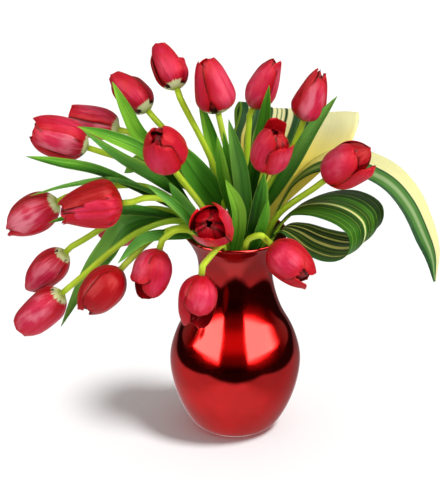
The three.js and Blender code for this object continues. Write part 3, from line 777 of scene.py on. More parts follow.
            0: petal(8, 0.95, 1.02, 1.0, blunt=0.3, curl=-0.05, lift=0.05), 1: petal(60, 1, 1, -0.8),
            2: petal(104, 1, 1, -0.5), 3: petal(170, 1, 1, -0.6), 4: petal(-72, 1, 1, 0.2, blunt=0.4),
            5: petal(-30, 1, 1, -1.0),
        },
    ),
    dict(
        id="15", throat=(-25, -13), via=[(-34, -18, 206), (-50, -27, 229), (-78, -36, 224)],
        neck=(-112, -47, 194), aim=(-151, -62, 153), length=56, girth=19.5, turn=-25, belly=0.42,
        petals={
            0: petal(-24, 0.9, 0.9, -0.7, lift=0.10, blunt=0.4, folds=[(-0.3, 0.03)]),
            1: petal(25, 0.98, 1, -1.0),
            2: petal(68, 1.04, 1.05, -0.7, lift=0.03, blunt=0.5, stand=0.05, folds=[(0.0, 0.05)]),
            3: petal(150, 1, 1, -0.6), 4: petal(-104, 0.97, 1, -0.8), 5: petal(-64, 0.95, 1, -1.0),
        },
        leaves=[blade(0.35, [(-88, -46, 226), (-115, -54, 203)], 6, (0, -0.8, 0.6))],
    ),
    dict(
        id="16", throat=(-18, -20), via=[(-25, -27, 204), (-40, -40, 230), (-58, -49, 236)],
        neck=(-74, -50, 217), aim=(-89, -61, 168), length=54, girth=18.5, tip=0.62, turn=50, cream=0.01,
        petals={
            0: petal(50, 0.66, 0.86, 0.6, lift=0.08, curl=0.12, blunt=0.35, roll=(0.15, 0.0)),
            1: petal(95, 0.74, 1, -1.0), 2: petal(165, 1, 1, -1.0, curl=-0.2, blunt=0.4),
            3: petal(-100, 0.92, 1, -1.0),
            4: petal(-38, 0.86, 0.93, 0.3, lift=0.07, blunt=0.6, curl=-0.1, folds=[(0.4, 0.05)]),
            5: petal(5, 0.6, 1, -1.0),
        },
        leaves=[blade(0.3, [(-52, -55, 257), (-68, -61, 275), (-85, -64, 290)], 5, (0.4, -0.8, 0.4))],
    ),
    dict(
        id="17", throat=(-3, -20), via=[(-8, -30, 214)], neck=(-19, -48, 233), aim=(-28, -98, 268),
        length=55, girth=20, tip=0.78, cream=0.02, belly=0.42, slim=0.9,
        petals={
            0: petal(-40, 0.86, 0.98, 0.2, curl=-0.08, bulge=-0.16, blunt=0.45, folds=[(0.2, 0.05)]),
            1: petal(10, 0.8, 1.3, -0.4, curl=-0.6, skew=34, blunt=0.15),
            2: petal(76, 1, 1, 0.5, curl=-0.26, lift=0.1, bulge=-0.16, blunt=0.7, folds=[(-0.2, 0.04)]),
            3: petal(110, 0.93, 1.3, -0.5, curl=-0.62, lift=0.06, skew=46, blunt=0.15),
            4: petal(178, 0.96, 0.98, 0.2, curl=-0.06, bulge=-0.16, blunt=0.5),
            5: petal(-120, 0.84, 1.3, -0.4, curl=-0.52, skew=30, blunt=0.15),
        },
        leaves=[
            blade(0.15, [(2, -40, 252), (-10, -44, 287)], 8, (0.3, -0.9, 0.3), tone=0.32, halfTone=0.1),
        ],
    ),
    dict(
        id="18", throat=(-9, -28),
        via=[(-11, -37, 205), (-13, -46, 219), (-16, -56, 222), (-23, -70, 220)], neck=(-33, -84, 205),
        aim=(-40, -92, 150), length=56, girth=18.5, tip=0.62, turn=-30,
        petals={
            0: petal(-24, 0.64, 0.94, 0.5, blunt=0.7, lift=0.08, curl=0.0, skew=14, folds=[(-0.3, 0.02)]),
            1: petal(25, 0.54, 1, -1.0, curl=-0.2),
            2: petal(70, 0.92, 0.85, -0.3, lift=0.03, curl=-0.1, roll=(0.1, 0.0)),
            3: petal(130, 0.95, 1, -1.0), 4: petal(-150, 1, 1, -1.0, curl=-0.2),
            5: petal(-85, 0.72, 1, -0.8),
        },
    ),
    dict(
        id="19", throat=(9, -24), via=[(9, -38, 208), (13, -47, 226), (24, -52, 232)], neck=(34, -52, 223),
        aim=(76, -68, 187), length=51, girth=19.5, tip=0.62, cream=0.01,
        petals={
            0: petal(6, 0.76, 0.94, 0.5, blunt=0.5, lift=0.08, curl=-0.02, folds=[(0.2, 0.02)]),
            1: petal(40, 0.9, 1.2, -1.0, curl=-0.4, blunt=0.3, lift=0.04),
            2: petal(86, 1.06, 0.9, -0.4, blunt=0.4, curl=-0.1, lift=0.03), 3: petal(175, 1, 1, -1.0),
            4: petal(-72, 1, 0.95, -0.3, blunt=0.4, curl=-0.14, lift=0.02),
            5: petal(-45, 0.95, 1.2, -1.0, curl=-0.46, blunt=0.25),
        },
        leaves=[blade(0.15, [(26, -50, 246), (31, -54, 270)], 6, (0.3, -0.9, 0.2))],
    ),
    dict(
        id="20", throat=(-23, 14), via=[(-33, 19, 206), (-48, 27, 227)], neck=(-88, 40, 211),
        aim=(-132, 46, 190), length=55, girth=19, turn=10, cream=0.02, belly=0.38,
    ),
]

petalShape = {
    "rows": 44,
    "columns": 31,
    "start": 0.006,  # the lowest row, as a share of the petal
    "foot": (0.2, 3.0),  # height of the foot of an outer and an inner petal
    "reach": (1.0, 0.97),  # length of an outer and an inner petal, as a share of the bloom's
    "inset": (0.0, 0.13),  # how far inside an outer and an inner petal lie
    "least": (1.2, 0.4),  # least radius of the outline, and of the petal with its folds and curls
    "width": 1.12,
    "widest": 61.0,  # degrees, half of a petal's angle
    "flare": 0.15,  # up to this share the petal leaves the bloom's axis
    "upper": 0.3,  # from here on ripples and stand grow
    "torn": 0.6,  # from here on the end is ragged
    "tip": 0.72,  # from here on the tip curls
    "lap": 0.035,  # one edge lies over the next petal and the other one under
    "crease": 0.03,
    "ripple": 0.018,
    "rib": 0.007,
    "foldWidth": 0.10,
    # how dark the painted shade in a fold is, times the fold's depth
    "foldShade": 4.0,
    "thickness": 0.9,
    # painted shade beside a petal that lies over: its reach, the step from which it starts, and the share of
    # the petal above which edges give it
    "paintedSeamShade": 1.5,  # reach in mm of the dark beside a petal that lies over
    "seamStep": 0.25,  # from this many mm of step on
    "seamFrom": 0.16,
    "lowCream": 0.07,  # where the cream base is lower than this, the dark foot inside is larger
    "darkFoot": (-1.0, -0.75),  # the larger one and the smaller one, as paintPetal's cream
}


# Radius at share s of a bloom's length: a rounded cone up to the belly, then a power curve to the tip.
def bloomOutline(s, tulip):
    belly = tulip["belly"]
    low = np.clip(1 - (1 - np.minimum(s, belly) / belly) ** 2, 0, 1) ** 0.58
    return np.where(s < belly, low, 1 - (1 - tulip["tip"]) * past(s, belly) ** tulip["power"])


# Half width of a petal: a rising sine, rounded off in its upper half. A low blunt makes a flat end.
def petalWidth(s, blunt):
    rise = 0.3 + 0.7 * np.sin(np.pi / 2 * np.minimum(s / 0.5, 1))
    return np.maximum(rise * (1 - past(s, 0.5) ** 3) ** blunt, 0.03)


# A petal is part of a turned surface: radius outline(height), less a dip that grows with the square
# of the way across, more at one edge than at the other, with a crease in the middle, ripples near
# the edges, fine ribs, and a bell-shaped groove for each fold. Its tip may stand, curl and turn, and
# the whole bloom may lean.
def petalForm(tulip, index, number, random):
    shape, inner = petalShape, index % 2
    own = tulip["petals"].get(index, petal(60 * index + tulip["turn"], sheenAndShade=0.0 if inner else 0.5))
    girth, length = tulip["girth"] * tulip["slim"], tulip["length"]
    s, t = sheetGrid(shape)
    s = shape["start"] + (1 - shape["start"]) * s
    foot = shape["foot"][inner]
    height = foot + (shape["reach"][inner] * length * own["long"] - foot) * s
    rise, upper = np.minimum(s / shape["flare"], 1), past(s, shape["upper"])
    belly = bloomOutline(height / length, tulip) * girth - shape["inset"][inner] * girth * rise
    belly = np.maximum(belly, shape["least"][0])
    phase = random.uniform(0, 6.28, 6)
    width = petalWidth(s, own["blunt"]) * girth * shape["width"] * own["wide"]
    width = width * (1 + 0.03 * np.sin(7 * s + phase[0]) + 0.02 * np.sin(17 * s + phase[1]))
    angle = np.minimum(width / belly, np.radians(shape["widest"]) * own["wide"])
    fold = np.zeros_like(s)
    for across, depth in own["folds"]:
        groove = np.exp(-(((t - across - 0.25 * across * s) / shape["foldWidth"]) ** 2))
        fold = fold + depth * groove * np.sin(np.pi * s**0.8)
    out = (
        (shape["lap"] * t + own["lift"]) * rise
        - shape["crease"] * np.exp(-((t / 0.16) ** 2)) * upper**0.5 * (1 - s)
        + shape["ripple"] * np.sin(9 * s + 2.5 * t + phase[2]) * t**2
        + shape["ripple"] * 0.7 * np.sin(5 * s + 4 * t + phase[3]) * upper
        + shape["rib"] * np.sin(13 * t + 2 * s + phase[1]) * rise * (1 - s / 2)
        + own["stand"] * upper**1.6
        + own["curl"] * past(s, shape["tip"]) ** 2
        + np.where(t < 0, *own["roll"]) * np.abs(t) ** 3 * upper
        - fold
    )
    radius = np.maximum(belly * (1 - own["bulge"] * t**2) + out * girth, shape["least"][1])
    uneven = 0.6 * np.sin(4 * t + phase[4]) + 0.4 * np.sin(9 * t + phase[5]) - 0.5
    height = height - 0.25 * np.abs(own["stand"]) * length * upper**2
    height = height + own["ragged"] * length * uneven * past(s, shape["torn"]) ** 2
    turn = np.radians(own["at"] - tulip["turn"] + own["skew"] * s**2) + t * angle
    aside, over = tulip["lean"] * girth * (height / length) ** 2, np.radians(tulip["turn"])
    x, y = radius * np.cos(turn) + aside * np.sin(over), radius * np.sin(turn) + aside * np.cos(over)
    middle = np.stack([x, y, height], -1)
    thickness = shape["thickness"] * (0.4 + 0.6 * (1 - np.abs(t) ** 3)) * (1 - 0.4 * s)
    cream = shape["darkFoot"][tulip["cream"] >= shape["lowCream"]] if inner else tulip["cream"]
    look = own["sheenAndShade"], own.get("cream", cream)
    shown = s[:, 0] > shape["seamFrom"]
    rim, rimRadius = (np.concatenate([v[shown, 0], v[shown, -1], v[-1]]) for v in (middle, radius))
    return {
        "sheet": (middle, thickness, (t, s, number), look), "middle": middle, "radius": radius,
        "rim": rim, "rimRadius": rimRadius, "fold": fold,
    }


# Painted shade at each point of a petal: 1 right at the edge of another one that lies over it, a bell
# curve of the distance beside it without the part along the radius, and more in its folds, by depth.
def seamShade(own, petals):
    spot, depth = own["middle"].reshape(-1, 1, 3), own["radius"].reshape(-1, 1)
    shade = np.zeros(len(spot))
    for other in petals:
        if other is not own:
            over = other["rimRadius"] - depth
            beside = np.sum((spot - other["rim"]) ** 2, axis=-1) - over**2
            near = np.exp(-np.maximum(beside, 0) / petalShape["paintedSeamShade"] ** 2)
            shade = np.maximum(shade, (near * (over > petalShape["seamStep"])).max(axis=1))
    return np.maximum(shade.reshape(own["radius"].shape), own["fold"] * petalShape["foldShade"])


# The bloom's own +Z goes onto the way it points, and its first petal turns to the front.
def bloomPose(tulip):
    axis = unit(np.subtract(tulip["aim"], tulip["neck"]))
    front = np.array(tulipShape["front"])
    first = unit(front - axis * (front @ axis))
    third = np.cross(axis, first)
    angle = np.radians(tulip["turn"])
    pose = np.eye(4)
    pose[:3, 0] = first * np.cos(angle) + third * np.sin(angle)
    pose[:3, 1] = third * np.cos(angle) - first * np.sin(angle)
    pose[:3, 2] = axis
    pose[:3, 3] = np.array(tulip["neck"]) + axis * tulipShape["gap"]
    return pose


heartShape = {
    "rows": 14,
    "stamens": 6,
    "stamenFoot": 4.0,
    "stamenRise": 17.0,
    "ring": 2.2,  # radius of the ring that the stamens' feet stand on
    "spread": 2.4,  # how much wider their tips stand
    "thread": 0.55,
    "antherFrom": 0.45,  # share of the stamen where the anther begins
    "antherEnd": 0.35,
    "antherSwell": 1.1,
    "pistilFoot": 4.0,
    "pistilRise": 15.0,
    "pistil": (1.9, -0.5, 1.3),  # radius at the foot, what it gains evenly, and what its top adds
    "seatRows": 9,
    "seatHeight": 4.6,
    "seat": (3.05, 2.9),  # radius below, and what it gains
}


# The seat is a cone that flares by a power of its height. On it stand a pistil that widens at its
# top and a ring of stamens: straight threads, each with a long anther whose radius is half a sine.
def heartParts(number):
    shape, up = heartShape, np.array([0, 0, 1.0])
    at, s = np.linspace(0, 1, shape["seatRows"]), np.linspace(0, 1, shape["rows"])
    seat, flare = shape["seat"]
    foot, gain, top = shape["pistil"]
    anther = shape["antherEnd"] + shape["antherSwell"] * np.sin(np.pi * past(s, shape["antherFrom"]))
    stamen = np.where(s < shape["antherFrom"], shape["thread"], anther)
    stem = up * (shape["pistilFoot"] + shape["pistilRise"] * s[:, None])
    parts = [
        rodPart(up * shape["seatHeight"] * at[:, None], seat + flare * at**1.3, 20, 1, number),
        rodPart(stem, foot + gain * s + top * past(s, 0.8), 12, 3, number),
    ]
    rise = up * (shape["stamenFoot"] + shape["stamenRise"] * s[:, None])
    for k in range(shape["stamens"]):
        angle = 2 * np.pi * (k + 0.5) / shape["stamens"]
        out = np.array([np.cos(angle), np.sin(angle), 0])
        line = rise + out * (shape["ring"] + shape["spread"] * s[:, None])
        parts.append(rodPart(line, stamen, 8, 2, number + k))
    return parts


def makeBloom(tulip, random):
    number = float(tulip["id"])
    petals = [petalForm(tulip, index, number + 0.13 * index, random) for index in range(6)]
    parts = [sheetPart(*own["sheet"], 0, seamShade(own, petals)) for own in petals]
    parts += heartParts(number)
    paints = [petalPaint, seatPaint, antherPaint, pistilPaint]
    name = tulip["id"]
    makePiece(f"tulip{name}Bloom", parts, paints, f"tulip_{name}_bloom", bloomPose(tulip))


# The stem's knots: the throat, a straight lead out of it, its bends, and a straight lead to the bloom.
def stemKnots(tulip):
    axis = unit(np.subtract(tulip["aim"], tulip["neck"]))
    x, y = tulip["throat"]
    low = tulipShape["throatHeight"]
    top = np.array(tulip["neck"]) - axis * tulipShape["neckLead"]
    return [(x, y, low), (x, y, low + tulipShape["throatLead"]), *tulip["via"], top]


# A stem: straight up from the vase's floor, then through its knots. Its radius falls evenly, with
# two waves in it.
def stemPart(tulip, random):
    shape = tulipShape
    bend = evenLine(stemKnots(tulip), int(shape["stemRows"] * fine))
    low = np.linspace((*tulip["throat"], shape["footHeight"]), bend[0], shape["lowRows"])[:-1]
    line = np.vstack([low, bend, [tulip["neck"]]])
    s = np.linspace(0, 1, len(line))
    waves = sum(share * np.sin(pace * s + random.uniform(0, 6)) for share, pace in shape["swell"])
    radius = shape["stemRadius"] * (1 - shape["stemTaper"] * s) * (1 + waves)
    return rodPart(line, radius, shape["stemSides"], 0, float(tulip["id"]))


leafShape = {
    "rows": 48,
    "columns": 13,
    "thickness": 0.8,
    "fold": 0.35,
    "across": 0.94,
    "wave": 0.05,
    "tone": (-0.25, 0.3),  # ranges from which a leaf without its own takes its tones
    # the painted light and shade on a leaf's halves
    "halfTone": (-0.4, 0.4),
}


# Half width of a leaf: a power of s times a power of what is left, with its widest place at 0.42.
def leafWidth(s, widest=0.42):
    rise, fall = (s + 0.03) / (widest + 0.03), (1 - s) / (1 - widest)
    return np.maximum(rise**0.7 * fall**0.9, 0.02)


# A leaf follows its line, spread to both sides of it, with its edges folded up by the square of the
# way across and a slow wave in them.
def leafPart(tulip, leaf, number, random):
    shape = leafShape
    steps, fineSteps = tulipShape["leafSteps"]
    coarse = np.vstack([evenLine(stemKnots(tulip), steps), [tulip["neck"]]])
    knots = [evenLine(coarse, fineSteps)[round(fineSteps * leaf["start"])], *leaf["points"]]
    s, t = sheetGrid(shape)
    along = s[:, 0]
    ahead = slope(knots, along)
    side = unit(np.cross(ahead, unit(leaf["face"])))
    width = leaf["half"] * leafWidth(s)
    phase = random.uniform(0, 6.28, 2)
    wave = np.sin(5 * s + phase[0]) * t + 0.6 * np.sin(9 * s + phase[1]) * t**2
    rise = width * (shape["fold"] * t**2 + shape["wave"] * wave)
    spread = width * t * shape["across"]
    middle = bladeSurface(curveAt(knots, along), side, np.cross(side, ahead), spread, rise)
    thickness = shape["thickness"] * (1 - 0.5 * t**2) * (1 - 0.4 * s)
    tone, halfTone = random.uniform(*shape["tone"]), random.uniform(*shape["halfTone"])
    look = leaf.get("tone", tone), leaf.get("halfTone", halfTone)
    return sheetPart(middle, thickness, (t, s, number), look, 1)


def makeStem(tulip, random):
    name = tulip["id"]
    number = float(name)
    parts = [stemPart(tulip, random)]
    parts += [leafPart(tulip, leaf, number + 0.37 * k, random) for k, leaf in enumerate(tulip["leaves"])]
    makePiece(f"tulip{name}Stem", parts, [stemPaint, leafPaint], f"tulip_{name}_stem")


for own in tulips:
    tulip = tulipUsual | own
    random = np.random.default_rng(int(tulip["id"]))
    makeStem(tulip, random)
    makeBloom(tulip, random)
print("tulips ready")

# Striped leaves

stripedShape = {
    "rows": 150,
    "columns": 33,
    "thickness": 1.0,
    "fold": 0.05,
    "ripple": 0.012,
    "stalk": (2.6, 2.4, 2.2, 1.8, 1.2),  # radius along it
    "stalkSides": 14,
}

stripedLeaves = [
    {
        "id": "low_loop", "name": "stripedLowLoop", "throat": (26, -13), "across": [(0.454, 0.891, 0)],
        "golden": 0.02, "veined": 0.30, "shift": 0.0, "dim": 0.34,
        "line": [
            (33, -15, 206), (45, -9, 226), (62, 0, 239), (84, 3, 244), (104, 1, 243), (120, -5, 238),
            (129, -9, 230), (131, -10, 218), (127, -8, 206), (117, -5, 199), (102, 0, 196), (82, 1, 202),
            (62, -5, 216), (49, -9, 221), (37, -11, 212), (31, -10, 196),
        ],
        "half": [6, 13, 25, 36, 42, 43, 43, 43, 43, 42, 39, 33, 22, 13, 8, 4],
        "outside": ("dark", [
            (0.0, 0.12, "moss"), (0.15, 0.29, "olive"), (0.195, 0.23, "bright"), (0.33, 0.39, "olive"),
            (0.41, 0.43, "moss"), (0.45, 0.54, "bright"), (0.57, 0.59, "olive"), (0.62, 0.64, "moss"),
            (0.695, 0.74, "bright"), (0.77, 0.80, "olive"), (0.84, 1.0, "olive"), (0.87, 0.885, "yellow"),
            (0.92, 0.935, "dark"),
        ]),
        "inside": ("green", [
            (0.07, 0.082, "lime"), (0.16, 0.168, "lime"), (0.24, 0.33, "dark"), (0.26, 0.268, "lime"),
            (0.36, 0.40, "cream"), (0.40, 0.42, "lime"), (0.46, 0.57, "dark"), (0.51, 0.52, "lime"),
            (0.63, 0.638, "lime"), (0.66, 1.0, "dark"), (0.72, 0.732, "lime"), (0.80, 0.808, "moss"),
            (0.87, 0.88, "lime"), (0.94, 0.95, "moss"), (0.985, 1.0, "lime"),
        ]),
    },
    {
        "id": "back_loop", "name": "stripedBackLoop", "throat": (15, 22), "across": [(0.966, -0.26, 0)],
        "golden": 0.40, "veined": 0.10, "shift": 0.0, "dim": 0.10,
        "line": [
            (18, 25, 190), (27, 33, 222), (42, 46, 260), (57, 60, 290), (64, 72, 308), (64, 84, 313),
            (57, 94, 302), (44, 90, 266), (29, 73, 232), (18, 46, 219), (10, 34, 200),
        ],
        "half": [6, 16, 42, 61, 62, 62, 60, 44, 24, 12, 5],
        "outside": ("teal", [
            (0.0, 0.02, "lime"), (0.075, 0.1, "cream"), (0.13, 0.14, "moss"), (0.17, 0.18, "silver"),
            (0.28, 0.385, "cover"), (0.31, 0.32, "moss"), (0.35, 0.36, "moss"), (0.41, 0.455, "cover"),
            (0.50, 0.51, "moss"), (0.64, 1.0, "cover"),
        ]),
        "inside": ("teal", [
            (0.0, 0.03, "lime"), (0.075, 0.1, "cream"), (0.28, 0.385, "pale"), (0.41, 0.455, "cream"),
            (0.64, 1.0, "cover"),
        ]),
    },
    {
        "id": "drooping", "name": "stripedDrooping", "throat": (27, 7),
        "golden": 0.42, "veined": 0.12, "shift": 0.16, "dim": 0.10,
        "across": [(0.2, 0.93, 0.3), (0.75, 0.6, 0.25)],
        "line": [
            (33, 9, 200), (43, 11, 234), (60, 15, 264), (82, 18, 280), (108, 21, 283), (136, 21, 275),
            (158, 17, 262), (176, 12, 240), (190, 4, 210), (198, -1, 187), (200, -7, 162),
        ],
        "half": [5, 9, 14, 18, 19, 19, 18, 17, 15, 10, 1.5],
        "outside": ("moss", [
            (-0.2, 0.04, "teal", 0.03), (0.17, 0.30, "silver", 0.05), (0.345, 0.39, "teal", 0.02),
            (0.44, 0.50, "silver", 0.02), (0.50, 1.0, "pale", 0.008),
        ]),
        "inside": ("moss", [
            (-0.2, 0.04, "teal", 0.03), (0.17, 0.30, "silver", 0.05), (0.44, 0.50, "teal", 0.02),
            (0.50, 1.0, "pale", 0.008),
        ]),
    },
]


# The blade follows its line and spreads to both sides along a direction that turns from its first
# value to its last, with its edges raised by the square of the way across and ripples in it.
def makeStriped(leaf, number):
    shape = stripedShape
    s, t = sheetGrid(shape)
    along = s[:, 0]
    first, last = np.array(leaf["across"][0]), np.array(leaf["across"][-1])
    across = unit(first + (last - first) * along[:, None])
    normal = unit(np.cross(across, slope(leaf["line"], along)))
    half = curveAt([(i, width, 0) for i, width in enumerate(leaf["half"])], along)[:, 1:2]
    rise = half * (shape["fold"] * (t**2 - 0.5) + shape["ripple"] * np.sin(8 * t + 3 * s))
    middle = bladeSurface(curveAt(leaf["line"], along), across, normal, half * t, rise)
    sheet = sheetPart(middle, shape["thickness"] * (1 - 0.45 * t**2), (t, s, number), (0, 0), 1)
    x, y = leaf["throat"]
    knots = [(x, y, tulipShape["footHeight"]), (x, y, tulipShape["throatHeight"]), *leaf["line"][:3]]
    legs = np.vstack([np.linspace(a, b, 11)[:-1] for a, b in zip(knots[:-1], knots[1:])])
    radius = np.interp(np.linspace(0, 1, len(legs)), np.linspace(0, 1, 5), shape["stalk"])
    stalk = rodPart(legs, radius, shape["stalkSides"], 0, number)
    paints = [stemPaint, paintStriped(leaf)]
    makePiece(leaf["name"], [sheet, stalk], paints, f"striped_leaf_{leaf['id']}")


for count, leaf in enumerate(stripedLeaves):
    makeStriped(leaf, 40.0 + count)
print("striped leaves ready")

# Vase and water

vaseShape = {
    "outline": [  # radius and height
        (36, 0), (44, 6), (55.5, 26), (64, 52), (66.4, 78), (60, 103), (47, 129), (39.5, 153),
        (37, 172), (39, 189), (46, 204), (52, 213),
    ],
    "under": [(0.01, 0), (20, 0), (34.8, 0)],  # the flat underside
    "wall": 3.5,
    "floor": 6.0,
    "bend": 6.0,  # radius of the bend between wall and floor inside
    "lip": 2.0,  # height of the rounded lip
    "rows": 130,
    "segments": 160,
}

vaseLook = {
    "red": (0.55, 0.006, 0.006),
    "deeper": 0.82,  # share of the red in its cloudy patches
    "neck": (0.33, 0.012, 0.011),
    "neckFrom": (0.165, 0.192),  # height in metres where the neck's tone begins and is full
    "inside": ((0.05, 0.003, 0.003), (0.09, 0.006, 0.005)),
    "tint": (0.5, 0.16, 0.16, 1),
    "roughness": (0.12, 0.06),  # and how much it varies
    "insideRoughness": 0.45,
    "coat": (0.42, 0.08),  # weight and roughness
    "bump": (0.0008, 0.3),
}


# Red metal under a clear coat, with cloudy patches and a fine grain round it.
def paintVase():
    p, tone = Paint("vaseRed"), vaseLook
    spot = p.spot()
    x, y, z = p.split(spot)
    cloud = p.noise(spot, 26, 3)
    grain = p.noise(p.vector(x, y, z * 0.12), 240, 2)
    deeper = tuple(tone["deeper"] * c for c in tone["red"])
    colour = p.blend(p.step(cloud, 0.35, 0.7), tone["red"], deeper)
    colour = p.blend(p.step(z, *tone["neckFrom"]), colour, tone["neck"])
    roughness = tone["roughness"][0] + (cloud - 0.5) * tone["roughness"][1]
    normal = p.bump(grain * 0.3 + cloud * 0.7, *tone["bump"])
    weight, coatRoughness = tone["coat"]
    coat = {"Coat_Weight": weight, "Coat_Roughness": coatRoughness, "Coat_IOR": 1.45}
    return p.finish(colour, roughness, normal, Metallic=1.0, Specular_Tint=tone["tint"], **coat)


def paintVaseInside():
    p = Paint("vaseInside")
    colour = p.blend(p.noise(p.spot(), 60, 3), *vaseLook["inside"])
    return p.finish(colour, vaseLook["insideRoughness"], Metallic=0.6)


# Outside: the underside and the outline. The lip is half an ellipse, the inside keeps the wall's
# thickness, and a quarter of a circle leads to the floor.
def makeVase():
    shape = vaseShape
    wall, floor, bend = shape["wall"], shape["floor"], shape["bend"]
    knots = [(r, z, 0) for r, z in shape["outline"]]
    outline = curveAt(knots, np.linspace(0, 1, int(shape["rows"] * fine)))[:, :2]
    rim, top = shape["outline"][-1]
    angle = np.linspace(0, np.pi, 15)[1:-1]
    lip = np.stack([rim - wall / 2 + wall / 2 * np.cos(angle), top + shape["lip"] * np.sin(angle)], -1)
    inner = outline[outline[:, 1] > floor + bend + 2][::-1] - np.array([wall, 0])
    angle = np.linspace(0.1, np.pi / 2, 9)
    low = np.stack([inner[-1, 0] - bend + bend * np.cos(angle), floor + bend - bend * np.sin(angle)], -1)
    inside = np.vstack([lip[-1:], inner, low, [(shape["under"][0][0], floor)]])
    outside = np.vstack([shape["under"], outline, lip])
    parts = [lathePart(outside, shape["segments"], 0), lathePart(inside, shape["segments"], 1)]
    return makePiece("vaseBody", parts, [paintVase(), paintVaseInside()], "vase")


waterLook = {"colour": (0.85, 0.92, 0.92), "roughness": 0.02, "bump": (0.0003, 0.2), "bend": 1.33}


def paintWater():
    p, tone = Paint("water"), waterLook
    normal = p.bump(p.noise(p.spot(), 90, 1), *tone["bump"])
    return p.finish(tone["colour"], tone["roughness"], normal, Transmission_Weight=1.0, IOR=tone["bend"])


vase = makeVase()
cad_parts["water"].data.materials.clear()
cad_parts["water"].data.materials.append(paintWater())
print("vase and water ready")

# Studio

studio = {
    "floor": (0.97, 0.97, 0.97),
    "corners": [(-4, -4, 0), (4, -4, 0), (4, 5, 0), (-4, 5, 0)],
    "key": (62.0, 40.0, 2.1, 26.0),  # each lamp: azimuth, elevation, strength, angle
    "front": (-12.0, 40.0, 0.8, 50.0),
    "floorSun": (68.0, 62.0, 2.45, 15.0),
    "sky": 1.0,
    "ambient": 0.44,
    "mirroredFloor": 1.16,
}

# What shiny pieces mirror of the room. Each edge fades from its first value to its second, in
# degrees: a patch has two edges of azimuth and one of elevation.
room = {
    "left": ((-86, -78), (-27, -32), (6, 12)),
    "leftSlant": (20, 0.6),  # its outer edge leans by this share of the elevation above this height
    "right": ((20, 25), (100, 74), (7, 13)),
    "under": ((15, 40), (110, 60), (-2, 7)),
    "underShare": 0.3,
    "middle": ((130, 90), (5, 13), (12, 34)),
    "middleShare": 0.25,
    "back": (84, 120),
    "windowGlow": 11.5,
    "middleGlow": 0.85,
    "backGlow": 0.35,
    "leastGlow": 0.012,
    "windowTint": (1, 1, 0.86),
    "wallTint": (1, 0.12, 0.12),
}

# The painted light on the floor that shiny pieces mirror as a table top: the metres over which it
# fades, and by how much.
table = {
    "front": (0.19, 0.33),
    "slant": 0.4,
    "aside": (0.46, 0.33),
    "back": ((0.10, 0.35), 0.5),
    "right": ((0.03, 0.13), 0.50),
    "left": ((0.05, 0.15), 0.34),
    "near": ((0.12, 0.04), 0.3),
    "least": 0.02,
}


# The floor is plain to the eye. What the vase mirrors of it is a glow, painted light that stands for
# an evenly lit table top without the shadow, dimmer to the sides and dark past its edges.
def paintFloor():
    p = Paint("floor")
    x, y = p.split(p.spot())[:2]
    mirrored = p.ray("Is Glossy Ray")
    front = p.step(-y - abs(x) * table["slant"], *table["front"])
    top = (1 - front) * p.step(abs(x), *table["aside"])
    fades = {"back": y, "right": x, "left": -x, "near": (x * x + y * y) ** 0.5}
    for name, value in fades.items():
        edge, share = table[name]
        top = top * (1 - p.step(value, *edge) * share)
    glow = p.blend(mirrored * (top + table["least"]), (0, 0, 0), (1, 1, 1))
    plain = p.blend(mirrored, studio["floor"], (0, 0, 0))
    light = {"Emission_Color": glow, "Emission_Strength": studio["mirroredFloor"]}
    return p.finish(plain, 0.6, Specular_IOR_Level=0.0, **light)


def makeFloor():
    mesh = bpy.data.meshes.new("floor")
    mesh.from_pydata(studio["corners"], [], [(0, 1, 2, 3)])
    mesh.materials.append(paintFloor())
    floor = bpy.data.objects.new("floor", mesh)
    bpy.context.collection.objects.link(floor)
    return floor


# A lamp far away. Azimuth 0 is on the camera's side, and it grows towards +X.
def sunLamp(name):
    azimuth, elevation, strength, angle = studio[name]
    a, e = np.radians(azimuth), np.radians(elevation)
    out = Vector((np.sin(a) * np.cos(e), -np.cos(a) * np.cos(e), np.sin(e)))
    data = bpy.data.lights.new(name, "SUN")
    data.energy = strength
    data.angle = np.radians(angle)
    lamp = bpy.data.objects.new(name, data)
    lamp.location = out * 2
    lamp.rotation_euler = (-out).to_track_quat("-Z", "Y").to_euler()
    lamp.visible_glossy = False
    bpy.context.collection.objects.link(lamp)
    return lamp.light_linking


# A collection for a lamp, with one object that alone is lit by it or blocks it, or that it skips.
def linked(name, member, state="INCLUDE"):
    group = bpy.data.collections.new(name)
    group.objects.link(member)
    for entry in group.collection_objects:
        entry.light_linking.link_state = state
    return group


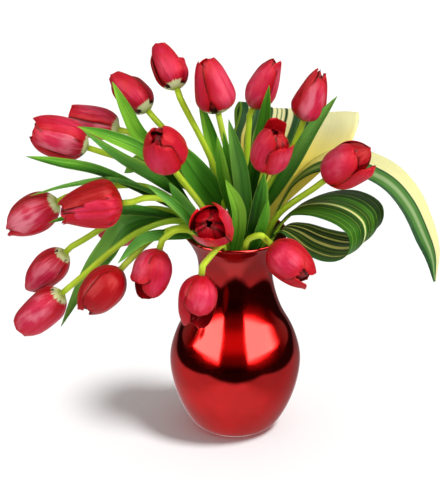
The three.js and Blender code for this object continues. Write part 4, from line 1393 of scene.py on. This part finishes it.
# Two tall windows, a wall between them, a dim patch below and a plain back, by azimuth and elevation.
# The floor itself gives the rest.
def mirrorRoom(p):
    x, y, z = p.split(p.spot("Generated"))
    turned = p.node("ShaderNodeMath", {"operation": "ARCTAN2"}, {0: x, 1: -y})
    raised = p.node("ShaderNodeMath", {"operation": "ARCSINE"}, {0: z})
    azimuth, elevation = turned * np.degrees(1), raised * np.degrees(1)

    def patch(name, outer):
        first, second, foot = room[name]
        return p.step(outer, *first) * p.step(azimuth, *second) * p.step(elevation, *foot)

    height, share = room["leftSlant"]
    window = patch("left", azimuth - (elevation - height) * share) + patch("right", azimuth)
    wide, low, high = room["middle"]
    rise = p.step(elevation, *low) * room["middleShare"] + p.step(elevation, *high)
    wall = p.step(abs(azimuth), *wide) * rise + patch("under", azimuth) * room["underShare"]
    back = p.step(abs(azimuth), *room["back"])
    glow = window * room["windowGlow"] + wall * room["middleGlow"] * (1 - window)
    glow = glow + back * room["backGlow"] + room["leastGlow"]
    return p.blend((1 - back) * (1 - window), room["windowTint"], room["wallTint"]), glow


# The world: the sky for the eye, an even light for rough surfaces, and the mirrored room for shiny
# ones, but not for light that has already left a rough surface.
def makeWorld():
    p = Paint("studio", "worlds")
    bpy.context.scene.world = p.owner
    seen = p.ray("Is Camera Ray")
    direct = 1 - p.step(p.ray("Diffuse Depth"), 0.4, 0.6)
    glossy = p.ray("Is Glossy Ray") * direct
    tint, glow = mirrorRoom(p)
    light = glossy * glow + (1 - glossy) * studio["ambient"]
    strength = seen * studio["sky"] + (1 - seen) * light
    tint = p.blend(glossy * (1 - seen), (1, 1, 1), tint)
    shader = p.node("ShaderNodeBackground", {}, {"Color": tint, "Strength": strength})
    p.node("ShaderNodeOutputWorld", {}, {"Surface": shader})


# The floor has its own sun, with no shadow but the vase's, so that it stays plain under the bunch.
def makeStudio(vase):
    floor = makeFloor()
    for name in ("key", "front"):
        sunLamp(name).receiver_collection = linked(f"{name}Skips", floor, "EXCLUDE")
    sun = sunLamp("floorSun")
    sun.receiver_collection = linked("floorSunLights", floor)
    sun.blocker_collection = linked("floorSunBlockers", vase)
    makeWorld()


makeStudio(vase)
bpy.context.scene.view_settings.view_transform = "Standard"
print("studio ready")
